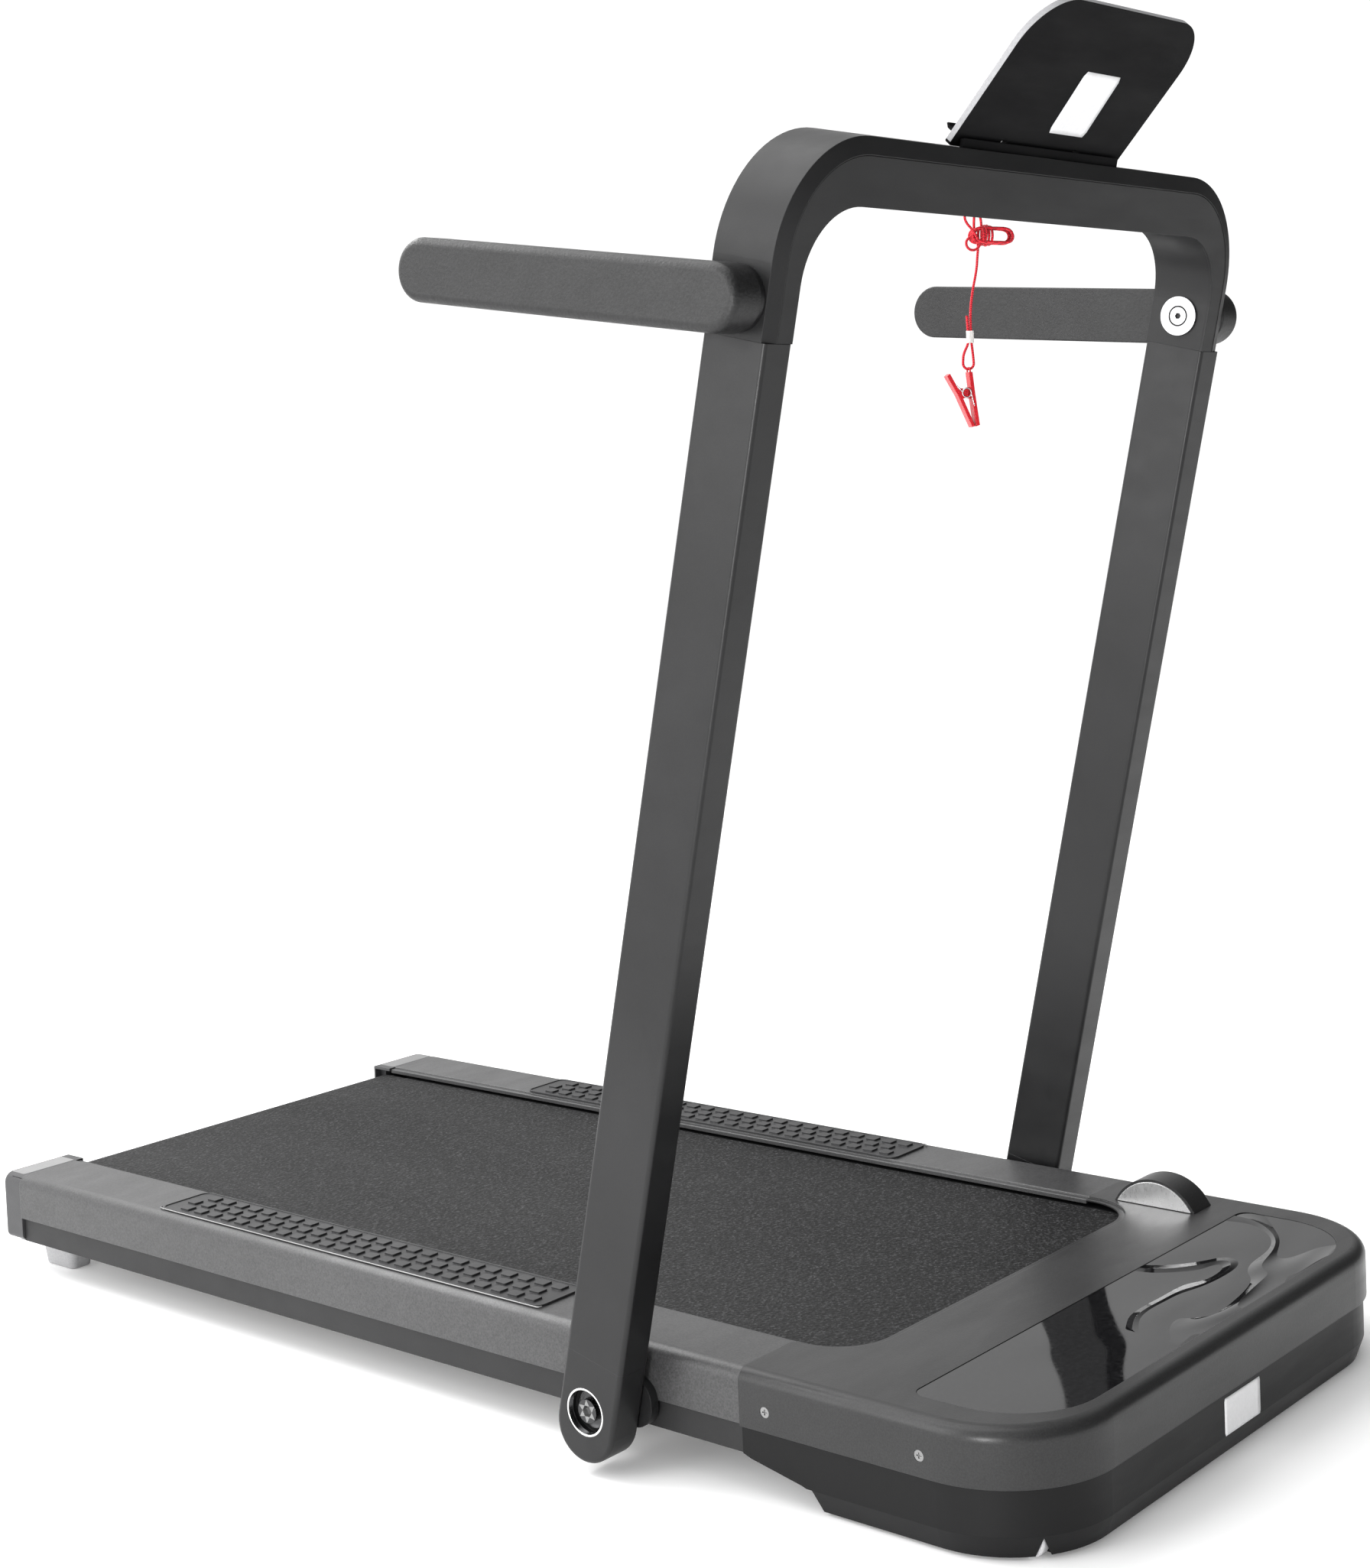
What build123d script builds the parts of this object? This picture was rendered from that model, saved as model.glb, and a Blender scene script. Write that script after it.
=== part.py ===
from build123d import *

import os
from math import cos, hypot, pi, radians, sin, tan

# Two-in-one folding treadmill: a flat motorised deck with a U-shaped handrail that folds
# back over it.  X runs across the deck, Y from the motor end (-Y) to the open end (+Y) and
# Z up.  The origin is on the floor under the middle of the bounding box.  Millimetres.

os.makedirs("parts", exist_ok=True)

# ---------------------------------------------------------------- driving dimensions
LENGTH = 1250.0  # nose of the motor cover to the back of the end caps
DECK_HALF = 296.0  # half the width over the side rails
TOP_Z = 101.0  # top of the side rails and of the motor cover
RAIL_Z = 34.0  # underside of the side rails
CREASE_Z = 58.0  # step in the side rail below its main face
STEP_IN = 4.0  # depth of that step
EDGE_R = 10.8  # rounding along the top outer edge
WALL = 3.0  # wall of covers and rails

FRONT_Y = -LENGTH / 2
REAR_Y = LENGTH / 2
CAP_Y = REAR_Y - 30.0  # rails end and end caps begin
SEAM_Y = FRONT_Y + 275.0  # motor cover meets the rails
SPLIT_Z = 56.0  # motor cover meets the lower shell
PLAN_R = 95.0  # corner of the motor cover, seen from above

OPENING_HALF = 220.0  # belt opening between the rails
LIP = (6.0, 1.4)  # ledge along the opening: width and drop
OPENING_Y = FRONT_Y + 220.0  # front edge of the belt opening
BELT_HALF = 215.0
BELT_T = 1.6
ROLLER_R = 20.7
BELT_GAP = 0.3  # room between a roller and its belt
AXLE_Z = 71.4
FRONT_AXLE_Y = FRONT_Y + 209.0
REAR_AXLE_Y = REAR_Y - 29.0
SHAFT_R = 6.0
RUN = 0.05  # radial clearance of a running fit
GAP = 0.3  # room between faces that slide past each other

TUBE_IN = 268.0  # inner and outer face of the frame's side tubes
TUBE_OUT = DECK_HALF - STEP_IN - WALL
TUBE_FRONT_Y = FRONT_Y + 125.0
TUBE_REAR_Y = REAR_Y - 13.0

PIVOT_Y = -225.0  # handrail pivot
PIVOT_Z = 52.0
BOLT_R = 8.0
LEAN = radians(13.1)  # the posts lean to the front
POST_IN = 305.0
POST_OUT = 337.0
POST_REAR = 28.0  # post faces behind and before the pivot
POST_FRONT = 31.0
POST_LOW = 45.0  # distances up the post from the pivot
POST_TOP = 858.0
UNDER_S = 960.0  # underside of the crossbar
TOP_S = 1011.5
CORNER_IN = 60.0
CORNER_OUT = 96.0
POST_DEPTH = POST_REAR + POST_FRONT
POST_WIDTH = POST_OUT - POST_IN
POST_X = (POST_IN + POST_OUT) / 2
POST_SET = (POST_FRONT - POST_REAR) / 2  # post axis before the pivot

ARM_S = 886.0  # arm pivot, up the post
ARM_IN = 342.0
ARM_OUT = 373.0
ARM_H = 51.0
ARM_REACH = 296.0  # from the pivot to the centre of the far round end
ARM_RISE = {"left": 8.5, "right": 5.0}  # degrees above level at rest

HUMP_X = (230.0, 265.0)
HUMP_R = 46.0
HUMP_Z = 80.0
PULLEY_R = 32.0
MOTOR_PULLEY_R = 11.0
MOTOR_Y = FRONT_Y + 95.0
MOTOR_Z = 52.0
MOTOR_R = 34.0

HOLDER_TILT = radians(43.7)  # phone panel from upright, to the front
HOLDER_HALF = 124.0
HOLDER_H = 136.0
HINGE_OFF = 14.0  # hinge line before the pivot plane
HINGE_UP = 4.6  # hinge line above the crossbar
KEY_S = 986.0
CORD_R = 1.1

SIDES = (("left", -1), ("right", 1))

# ---------------------------------------------------------------- planes
UP = Vector(0, -sin(LEAN), cos(LEAN))  # up the posts
AHEAD = Vector(0, -cos(LEAN), -sin(LEAN))  # normal of the handrail, to the front
FRAME = Plane(origin=(0, PIVOT_Y, PIVOT_Z), x_dir=(1, 0, 0), z_dir=AHEAD)


def facing_front(y):
    """Upright plane across the deck at y: local x is X and local y is Z."""
    return Plane(origin=(0, y, 0), x_dir=(1, 0, 0), z_dir=(0, -1, 0))


def facing_right(x):
    """Upright plane along the deck at x: local x is Y and local y is Z."""
    return Plane(origin=(x, 0, 0), x_dir=(0, 1, 0), z_dir=(1, 0, 0))


def facing_out(side, x):
    """Plane on a post's side, facing away from the deck: local y runs up the post."""
    return Plane(origin=(side * x, PIVOT_Y, PIVOT_Z), x_dir=-side * AHEAD, z_dir=(side, 0, 0))


def across_post(s):
    """Plane square to the posts at s: local x is X and local y runs to the rear."""
    return Plane(origin=FRAME.from_local_coords((0, s, 0)), x_dir=(1, 0, 0), z_dir=UP)


def on_frame(x, s, ahead=0.0):
    """A point of the handrail, from its place across, up and before the pivot."""
    return FRAME.from_local_coords(Vector(x, s, ahead))


def save(name, part):
    """Label a finished piece and write it."""
    part.label = name
    export_step(part, f"parts/{name}.step")


def near(vertices, *points):
    """The vertices that lie at the given points."""
    return [v for v in vertices if any(hypot(v.X - x, v.Y - y) < 0.1 for x, y in points)]


# ---------------------------------------------------------------- side rails
RAIL_FOOT = 30.0  # width of the rail's lower lip
LIP_DEPTH = 5.5  # depth of the folded edge beside the belt


def side_rail(name, side):
    """Folded plastic-coated rail: top plate, outer face with a step, lower lip."""
    low_out = DECK_HALF - STEP_IN
    step_z = CREASE_Z + WALL
    profile = [
        (OPENING_HALF, TOP_Z - LIP[1]),
        (OPENING_HALF + LIP[0], TOP_Z - LIP[1]),
        (OPENING_HALF + LIP[0], TOP_Z),
        (DECK_HALF, TOP_Z),
        (DECK_HALF, CREASE_Z),
        (low_out, CREASE_Z),
        (low_out, RAIL_Z),
        (low_out - RAIL_FOOT, RAIL_Z),
        (low_out - RAIL_FOOT, RAIL_Z + WALL),
        (TUBE_OUT, RAIL_Z + WALL),
        (TUBE_OUT, step_z),
        (DECK_HALF - WALL, step_z),
        (DECK_HALF - WALL, TOP_Z - WALL),
        (OPENING_HALF + LIP[0] + WALL, TOP_Z - WALL),
        (OPENING_HALF + WALL, TOP_Z - WALL - LIP[1]),
        (OPENING_HALF + WALL, TOP_Z - LIP_DEPTH),
        (OPENING_HALF, TOP_Z - LIP_DEPTH),
    ]
    profile = [(side * x, z) for x, z in profile]
    with BuildPart() as rail:
        with BuildSketch(facing_front(CAP_Y)) as section:
            with BuildLine():
                Polyline(*profile, close=True)
            make_face()
            fillet(near(section.vertices(), profile[3]), EDGE_R)
            fillet(near(section.vertices(), profile[12]), EDGE_R - WALL)
            fillet(near(section.vertices(), profile[0], profile[2]), 0.9)
        extrude(amount=CAP_Y - SEAM_Y)
        with BuildSketch(facing_right(side * (TUBE_OUT - 1))):
            with Locations((PIVOT_Y, PIVOT_Z)):
                Circle(BOLT_R)
        extrude(amount=side * 10, mode=Mode.SUBTRACT)
    save(name, rail.part)


for word, side in SIDES:
    side_rail(f"side_rail_{word}", side)


# ---------------------------------------------------------------- anti-slip foot pads
PAD_LENGTH = 506.0
PAD_WIDTH = 58.0
PAD_X = 255.0
PAD_Y = 126.0
PAD_ROWS = 3
PAD_PITCH = 20.0
PAD_ROW_PITCH = 16.5
PAD_STUDS = 24
PAD_R = 9.0
PAD_BASE_T = 1.2
PAD_RIM_T = 0.8
PAD_RIM_W = 1.5
STUD = (11.0, 12.0, 1.8)  # width, length, height

with BuildPart() as foot_pads:
    for side in (-1, 1):
        with BuildSketch(Plane.XY.offset(TOP_Z)):
            with Locations((side * PAD_X, PAD_Y)):
                RectangleRounded(PAD_WIDTH, PAD_LENGTH, PAD_R)
        extrude(amount=PAD_BASE_T)
        with BuildSketch(Plane.XY.offset(TOP_Z + PAD_BASE_T)):
            with Locations((side * PAD_X, PAD_Y)):
                RectangleRounded(PAD_WIDTH, PAD_LENGTH, PAD_R)
                RectangleRounded(
                    PAD_WIDTH - 2 * PAD_RIM_W,
                    PAD_LENGTH - 2 * PAD_RIM_W,
                    PAD_R - PAD_RIM_W,
                    mode=Mode.SUBTRACT,
                )
        extrude(amount=PAD_RIM_T)
        with BuildSketch(Plane.XY.offset(TOP_Z + PAD_BASE_T)):
            for row in range(PAD_ROWS):
                shift = PAD_PITCH / 2 * (row % 2)
                x = side * (PAD_X + (row - 1) * PAD_ROW_PITCH)
                with Locations((x, PAD_Y + shift - PAD_PITCH / 4)):
                    with GridLocations(1, PAD_PITCH, 1, PAD_STUDS):
                        RectangleRounded(STUD[0], STUD[1], 1.5)
        extrude(amount=STUD[2])
save("foot_pads", foot_pads.part)


# ---------------------------------------------------------------- rear end caps
INLAY = (226.0, 287.0, CAP_Y + 3.0, REAR_Y - 5.0)  # low x, high x, low y, high y
INLAY_T = 1.2
INLAY_R = 2.5
CAP_IN = 217.0  # inner end of the caps
CAP_OUT = DECK_HALF - 1.0
CAP_BACK = 5.5  # back wall where the belt passes
BELT_ROOM = 222.0  # inner end of the pocket for the side tubes
ADJUSTER_R = 6.5
ADJUSTER_X = (TUBE_IN + TUBE_OUT) / 2

with BuildPart() as end_caps:
    for side in (-1, 1):
        corners = [(CAP_IN, TOP_Z), (CAP_OUT, TOP_Z), (CAP_OUT, RAIL_Z), (CAP_IN, RAIL_Z)]
        corners = [(side * x, z) for x, z in corners]
        with BuildSketch(facing_front(REAR_Y)) as section:
            with BuildLine():
                Polyline(*corners, close=True)
            make_face()
            fillet(near(section.vertices(), corners[1]), EDGE_R)
            fillet(near(section.vertices(), corners[2], corners[3]), 6)
        extrude(amount=REAR_Y - CAP_Y)
    back = end_caps.faces().filter_by(Axis.Y).group_by(Axis.Y)[-1]
    fillet(back.edges(), 5)
    for side in (-1, 1):
        pocket_x = side * (BELT_ROOM + DECK_HALF - WALL - 2) / 2
        with BuildSketch(facing_front(TUBE_REAR_Y)):
            with Locations((pocket_x, (RAIL_Z + TOP_Z) / 2)):
                Rectangle(DECK_HALF - WALL - BELT_ROOM, TOP_Z - RAIL_Z - 2 * WALL)
        extrude(amount=TUBE_REAR_Y - CAP_Y, mode=Mode.SUBTRACT)
        with BuildSketch(facing_front(REAR_Y - CAP_BACK)):
            with Locations((side * (BELT_ROOM - 1), (RAIL_Z + TOP_Z) / 2)):
                Rectangle(11, TOP_Z - RAIL_Z - 2 * WALL)
        extrude(amount=REAR_Y - CAP_BACK - CAP_Y, mode=Mode.SUBTRACT)
        with BuildSketch(facing_front(REAR_Y + 1)):
            with Locations((side * ADJUSTER_X, AXLE_Z)):
                Circle(ADJUSTER_R)
        extrude(amount=20, mode=Mode.SUBTRACT)
        with BuildSketch(Plane.XY.offset(TOP_Z - INLAY_T)):
            with Locations((side * (INLAY[0] + INLAY[1]) / 2, (INLAY[2] + INLAY[3]) / 2)):
                RectangleRounded(INLAY[1] - INLAY[0], INLAY[3] - INLAY[2], INLAY_R)
        extrude(amount=5, mode=Mode.SUBTRACT)
save("end_caps", end_caps.part)

with BuildPart() as end_cap_inlays:
    for side in (-1, 1):
        with BuildSketch(Plane.XY.offset(TOP_Z - INLAY_T)):
            with Locations((side * (INLAY[0] + INLAY[1]) / 2, (INLAY[2] + INLAY[3]) / 2)):
                RectangleRounded(INLAY[1] - INLAY[0], INLAY[3] - INLAY[2], INLAY_R)
        extrude(amount=INLAY_T)
save("end_cap_inlays", end_cap_inlays.part)


# ---------------------------------------------------------------- motor cover and lower shell
def nose_outline(inset, rear=SEAM_Y):
    """Plan of the motor end: straight sides and back, two round front corners."""
    half = DECK_HALF - inset
    front = FRONT_Y + inset
    with BuildSketch() as outline:
        with Locations((0, (front + rear) / 2)):
            Rectangle(2 * half, rear - front)
        fillet(outline.vertices().group_by(Axis.Y)[0], PLAN_R - inset)
    return outline.sketch


WINDOW = (262.0, FRONT_Y + 19.0, FRONT_Y + 137.0)  # half width, front y, rear y
WINDOW_T = 2.0
WINDOW_R = (72.0, 12.0)  # front and rear corners, seen from above
OPENING_R = 48.0  # front corners of the belt opening
BOARD_W = 170.0
BOARD_D = 52.0
DIGIT = (30.0, 22.0, 38.0)  # width, depth and pitch of the display's four blocks
SCREW_Y = (FRONT_Y + 107.0, FRONT_Y + 250.0)
SCREW_Z = 72.0
SCREW_R = 4.4
SCREW_SLOT = (4.6, 1.1)
SCREW_SHANK_R = 1.8
SCREW_DISC = 1.2
SCREW_DROP = 0.4  # screw heads stand this far inside the cover's face


def window_outline(inset):
    """Plan of the glossy display window, with wide front corners."""
    half = WINDOW[0] - inset
    front = WINDOW[1] + inset
    rear = WINDOW[2] - inset
    with BuildSketch() as outline:
        with Locations((0, (front + rear) / 2)):
            Rectangle(2 * half, rear - front)
        fillet(outline.vertices().group_by(Axis.Y)[0], WINDOW_R[0] - inset)
        fillet(outline.vertices().group_by(Axis.Y)[-1], WINDOW_R[1] - inset)
    return outline.sketch


with BuildPart() as motor_cover:
    with BuildSketch(Plane.XY.offset(SPLIT_Z)):
        add(nose_outline(0))
    extrude(amount=TOP_Z - SPLIT_Z)
    rim = motor_cover.faces().sort_by(Axis.Z)[-1].edges()
    fillet([e for e in rim if e.center().Y < SEAM_Y - 1], EDGE_R)
    with BuildSketch(Plane.XY.offset(SPLIT_Z)):
        add(nose_outline(WALL + 4, SEAM_Y + 1))
    extrude(amount=TOP_Z - WALL - SPLIT_Z, mode=Mode.SUBTRACT)
    with BuildSketch(Plane.XY.offset(SPLIT_Z)):
        add(nose_outline(WALL, SEAM_Y + 1))
    extrude(amount=TOP_Z - EDGE_R - 3 - SPLIT_Z, mode=Mode.SUBTRACT)
    with BuildSketch(Plane.XY.offset(TOP_Z - 10)) as opening:
        with Locations((0, (OPENING_Y + SEAM_Y) / 2)):
            Rectangle(2 * OPENING_HALF, SEAM_Y - OPENING_Y)
        fillet(opening.vertices().group_by(Axis.Y)[0], OPENING_R)
        with Locations((0, SEAM_Y)):
            Rectangle(2 * OPENING_HALF, 2)
    extrude(amount=20, mode=Mode.SUBTRACT)
    with BuildSketch(Plane.XY.offset(TOP_Z - LIP[1])) as ledge:
        with Locations((0, (OPENING_Y - LIP[0] + SEAM_Y) / 2)):
            Rectangle(2 * (OPENING_HALF + LIP[0]), SEAM_Y - OPENING_Y + LIP[0])
        fillet(ledge.vertices().group_by(Axis.Y)[0], OPENING_R + LIP[0])
        with Locations((0, SEAM_Y)):
            Rectangle(2 * (OPENING_HALF + LIP[0]), 2)
    extrude(amount=5, mode=Mode.SUBTRACT)
    with BuildSketch(Plane.XY.offset(TOP_Z - WINDOW_T)):
        add(window_outline(0))
    extrude(amount=5, mode=Mode.SUBTRACT)
    with BuildSketch(Plane.XY.offset(TOP_Z - 10)):
        with Locations((0, (WINDOW[1] + WINDOW[2]) / 2)):
            RectangleRounded(180, 60, 5)
        with Locations(((HUMP_X[0] + HUMP_X[1]) / 2, FRONT_AXLE_Y)):
            Rectangle(HUMP_X[1] - HUMP_X[0] - 5, 72)
    extrude(amount=12, mode=Mode.SUBTRACT)
    for side in (-1, 1):
        with BuildSketch(facing_right(side * (DECK_HALF - 5))):
            with Locations((SCREW_Y[0], SCREW_Z), (SCREW_Y[1], SCREW_Z)):
                Circle(SCREW_R)
        extrude(amount=side * 10, mode=Mode.SUBTRACT)
save("motor_cover", motor_cover.part)

with BuildPart() as cover_screws:
    for side in (-1, 1):
        for y in SCREW_Y:
            with BuildSketch(facing_right(side * (DECK_HALF - SCREW_DROP))):
                with Locations((y, SCREW_Z)):
                    Circle(SCREW_R)
                    Rectangle(*SCREW_SLOT, mode=Mode.SUBTRACT)
                    Rectangle(*reversed(SCREW_SLOT), mode=Mode.SUBTRACT)
            extrude(amount=-side * SCREW_DISC)
            with BuildSketch(facing_right(side * (DECK_HALF - SCREW_DROP - SCREW_DISC))):
                with Locations((y, SCREW_Z)):
                    Circle(SCREW_R)
            extrude(amount=-side * SCREW_DISC)
            with BuildSketch(facing_right(side * (DECK_HALF - SCREW_DROP - 2 * SCREW_DISC))):
                with Locations((y, SCREW_Z)):
                    Circle(SCREW_SHANK_R)
            extrude(amount=-side * 3.5)
save("cover_screws", cover_screws.part)

SHELL_IN = 3.0  # lower shell stands inside the cover's face by this
SLOPE_Z = 20.0  # height where its sides turn under
BELLY_Z = 3.0
WHEEL_R = 13.0
WHEEL_W = 10.0
WHEEL_X = 254.0
WHEEL_Y = FRONT_Y + 39.0
SOCKET_Y = FRONT_Y + 108.0  # power inlet and switch, on the right side
SOCKET_Z = 31.5
SWITCH_Z = 47.0
SOCKET = (24.0, 16.0)
SWITCH = (21.0, 12.0)
PANEL_PROUD = 1.6
AXLE_R = 3.0

with BuildPart() as lower_shell:
    with BuildSketch(Plane.XY.offset(SLOPE_Z)):
        add(nose_outline(SHELL_IN))
    extrude(amount=SPLIT_Z - SLOPE_Z)
    with BuildSketch(Plane.XY.offset(SLOPE_Z)):
        add(nose_outline(SHELL_IN, SEAM_Y - 66))
    extrude(amount=BELLY_Z - SLOPE_Z, taper=20)
    with BuildSketch(Plane.XY.offset(SLOPE_Z + WALL)):
        add(nose_outline(SHELL_IN + WALL, SEAM_Y + 1))
    extrude(amount=SPLIT_Z, mode=Mode.SUBTRACT)
    with BuildSketch(Plane.XY.offset(SLOPE_Z + WALL)):
        add(nose_outline(SHELL_IN + 2 * WALL, SEAM_Y - 70))
    extrude(amount=BELLY_Z - SLOPE_Z, taper=20, mode=Mode.SUBTRACT)
    with BuildSketch(facing_right(-DECK_HALF)):
        with BuildLine():
            Polyline(
                (SEAM_Y + 1, SLOPE_Z - 1),
                (SEAM_Y + 1, RAIL_Z),
                (SEAM_Y - 8, RAIL_Z - 3),
                (SEAM_Y - 56, SLOPE_Z + 1.5),
                (SEAM_Y - 64, SLOPE_Z - 1),
                close=True,
            )
        make_face()
    extrude(amount=2 * DECK_HALF, mode=Mode.SUBTRACT)
    with BuildSketch(facing_right(-DECK_HALF + SHELL_IN)):
        with BuildLine():
            Polyline(
                (SEAM_Y, RAIL_Z + 0.4),
                (SEAM_Y, RAIL_Z + WALL),
                (SEAM_Y - 8, RAIL_Z),
                (SEAM_Y - 56, SLOPE_Z + WALL + 1.5),
                (SEAM_Y - 64, SLOPE_Z + WALL),
                (SEAM_Y - 70, SLOPE_Z + WALL),
                (SEAM_Y - 70, SLOPE_Z),
                (SEAM_Y - 64, SLOPE_Z),
                (SEAM_Y - 56, SLOPE_Z + 1.5),
                (SEAM_Y - 8, RAIL_Z - 3),
                close=True,
            )
        make_face()
    extrude(amount=2 * (DECK_HALF - SHELL_IN))
    for side in (-1, 1):
        with BuildSketch(Plane.XY.offset(BELLY_Z - 1)):
            with Locations((side * WHEEL_X, WHEEL_Y)):
                Rectangle(WHEEL_W + 2, 2 * WHEEL_R + 2)
        extrude(amount=2 * WHEEL_R - 1, mode=Mode.SUBTRACT)
        with BuildSketch(facing_right(side * WHEEL_X)):
            with Locations((WHEEL_Y, WHEEL_R)):
                Circle(AXLE_R)
        extrude(amount=WHEEL_W / 2 + 7, both=True, mode=Mode.SUBTRACT)
    with BuildSketch(facing_right(DECK_HALF - SHELL_IN - 5)):
        with Locations((SOCKET_Y, SOCKET_Z)):
            Rectangle(*SOCKET)
        with Locations((SOCKET_Y, SWITCH_Z)):
            Rectangle(*SWITCH)
    extrude(amount=10, mode=Mode.SUBTRACT)
save("lower_shell", lower_shell.part)

with BuildPart() as display_window:
    with BuildSketch(Plane.XY.offset(TOP_Z - WINDOW_T)):
        add(window_outline(0.3))
    extrude(amount=WINDOW_T - 0.4)
save("display_window", display_window.part)

with BuildPart() as display_board:
    with BuildSketch(Plane.XY.offset(TOP_Z - 7)):
        with Locations((0, (WINDOW[1] + WINDOW[2]) / 2)):
            Rectangle(BOARD_W, BOARD_D)
    extrude(amount=1.6)
    with BuildSketch(Plane.XY.offset(TOP_Z - 5.4)):
        with Locations((0, (WINDOW[1] + WINDOW[2]) / 2)):
            with GridLocations(DIGIT[2], 1, 4, 1):
                Rectangle(DIGIT[0], DIGIT[1])
    extrude(amount=3.4)
save("display_board", display_board.part)


# ---------------------------------------------------------------- pulley hump on the cover
def hump_profile(radius, low):
    """The part of the hump's circle above the height low, seen from the side."""
    with BuildSketch() as profile:
        with Locations((FRONT_AXLE_Y, HUMP_Z)):
            Circle(radius)
        with Locations((FRONT_AXLE_Y, low - 100)):
            Rectangle(4 * radius, 200, mode=Mode.SUBTRACT)
    return profile.sketch


with BuildPart() as pulley_hump:
    with BuildSketch(facing_right(HUMP_X[0])):
        add(hump_profile(HUMP_R, TOP_Z))
    extrude(amount=HUMP_X[1] - HUMP_X[0])
    far_edge = pulley_hump.faces().sort_by(Axis.X)[-1].edges().filter_by(GeomType.CIRCLE)
    fillet(far_edge, 5)
    with BuildSketch(facing_right(HUMP_X[0] + 3)):
        add(hump_profile(HUMP_R - 4, TOP_Z - 1))
    extrude(amount=HUMP_X[1] - HUMP_X[0] - 6, mode=Mode.SUBTRACT)
save("pulley_hump", pulley_hump.part)

with BuildPart() as hump_plate:
    with BuildSketch(facing_right(HUMP_X[0] - 1.2)):
        add(hump_profile(HUMP_R - 2.5, TOP_Z + 0.6))
    extrude(amount=1.2)
save("hump_plate", hump_plate.part)


# ---------------------------------------------------------------- steel frame and deck
CROSS_Z = (56.0, 71.0)
CROSS_Y = (-300.0, 60.0, 420.0)
FRONT_CROSS_Y = FRONT_Y + 145.0
DECK_T = 15.0
TUBE_WALL = 3.0  # depth of the holes in the side tubes' walls
CUSHION_R = 13.0
CUSHION_X = 200.0
CROSS_W = 40.0
CROSS_WALL = 2.0
FRONT_CROSS = (20.0, 16.0, 54.0)  # width, height and middle height
DECK_TOP_Z = AXLE_Z + ROLLER_R + BELT_GAP

with BuildPart() as frame_side_tubes:
    for side in (-1, 1):
        width = TUBE_OUT - TUBE_IN
        height = TOP_Z - RAIL_Z - 2 * WALL
        centre = (side * (TUBE_IN + TUBE_OUT) / 2, (RAIL_Z + TOP_Z) / 2)
        with BuildSketch(facing_front(TUBE_REAR_Y)):
            with Locations(centre):
                RectangleRounded(width, height, 4)
                RectangleRounded(width - 4, height - 4, 2, mode=Mode.SUBTRACT)
        extrude(amount=TUBE_REAR_Y - TUBE_FRONT_Y)
        with BuildSketch(facing_right(side * TUBE_IN)):
            with Locations((FRONT_AXLE_Y, AXLE_Z), (REAR_AXLE_Y, AXLE_Z)):
                Circle(SHAFT_R)
        extrude(amount=side * TUBE_WALL, mode=Mode.SUBTRACT)
        with BuildSketch(facing_right(side * TUBE_OUT)):
            with Locations((PIVOT_Y, PIVOT_Z)):
                Circle(BOLT_R)
        extrude(amount=-side * TUBE_WALL, mode=Mode.SUBTRACT)
save("frame_side_tubes", frame_side_tubes.part)

with BuildPart() as cross_tubes:
    for y in CROSS_Y:
        with BuildSketch(facing_right(-TUBE_IN)):
            with Locations((y, sum(CROSS_Z) / 2)):
                height = CROSS_Z[1] - CROSS_Z[0]
                Rectangle(CROSS_W, height)
                inside = height - 2 * CROSS_WALL
                Rectangle(CROSS_W - 2 * CROSS_WALL, inside, mode=Mode.SUBTRACT)
        extrude(amount=2 * TUBE_IN)
    with BuildSketch(facing_right(-TUBE_IN)):
        with Locations((FRONT_CROSS_Y, FRONT_CROSS[2])):
            Rectangle(FRONT_CROSS[0], FRONT_CROSS[1])
            inside = (FRONT_CROSS[0] - 2 * CROSS_WALL, FRONT_CROSS[1] - 2 * CROSS_WALL)
            Rectangle(*inside, mode=Mode.SUBTRACT)
    extrude(amount=2 * TUBE_IN)
save("cross_tubes", cross_tubes.part)

with BuildPart() as deck_board:
    with BuildSketch(Plane.XY.offset(DECK_TOP_Z - DECK_T)):
        with Locations((0, (FRONT_AXLE_Y + REAR_AXLE_Y) / 2)):
            Rectangle(472, REAR_AXLE_Y - FRONT_AXLE_Y - 50)
    extrude(amount=DECK_T)
save("deck_board", deck_board.part)

with BuildPart() as deck_cushions:
    for y in CROSS_Y:
        with BuildSketch(Plane.XY.offset(CROSS_Z[1])):
            with Locations((-CUSHION_X, y), (CUSHION_X, y)):
                Circle(CUSHION_R)
        extrude(amount=DECK_TOP_Z - DECK_T - CROSS_Z[1])
save("deck_cushions", deck_cushions.part)


def loop(radius_a, centre_a, radius_b, centre_b):
    """Side view of a band's outline round two wheels."""
    with BuildSketch() as outline:
        with BuildLine() as wheels:
            CenterArc(centre_a, radius_a, 0, 360)
            CenterArc(centre_b, radius_b, 0, 360)
        make_hull(wheels.edges())
    return outline.sketch


FRONT_AXLE = (FRONT_AXLE_Y, AXLE_Z)
REAR_AXLE = (REAR_AXLE_Y, AXLE_Z)
MOTOR_AXLE = (MOTOR_Y, MOTOR_Z)
BELT_R = ROLLER_R + BELT_GAP

with BuildPart() as running_belt:
    with BuildSketch(facing_right(-BELT_HALF)):
        add(loop(BELT_R + BELT_T, FRONT_AXLE, BELT_R + BELT_T, REAR_AXLE))
        add(loop(BELT_R, FRONT_AXLE, BELT_R, REAR_AXLE), mode=Mode.SUBTRACT)
    extrude(amount=2 * BELT_HALF)
save("running_belt", running_belt.part)

ROLLER_HALF = 222.0
ROLLER_WALL = 2.5
BEARING_W = 12.0

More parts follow.
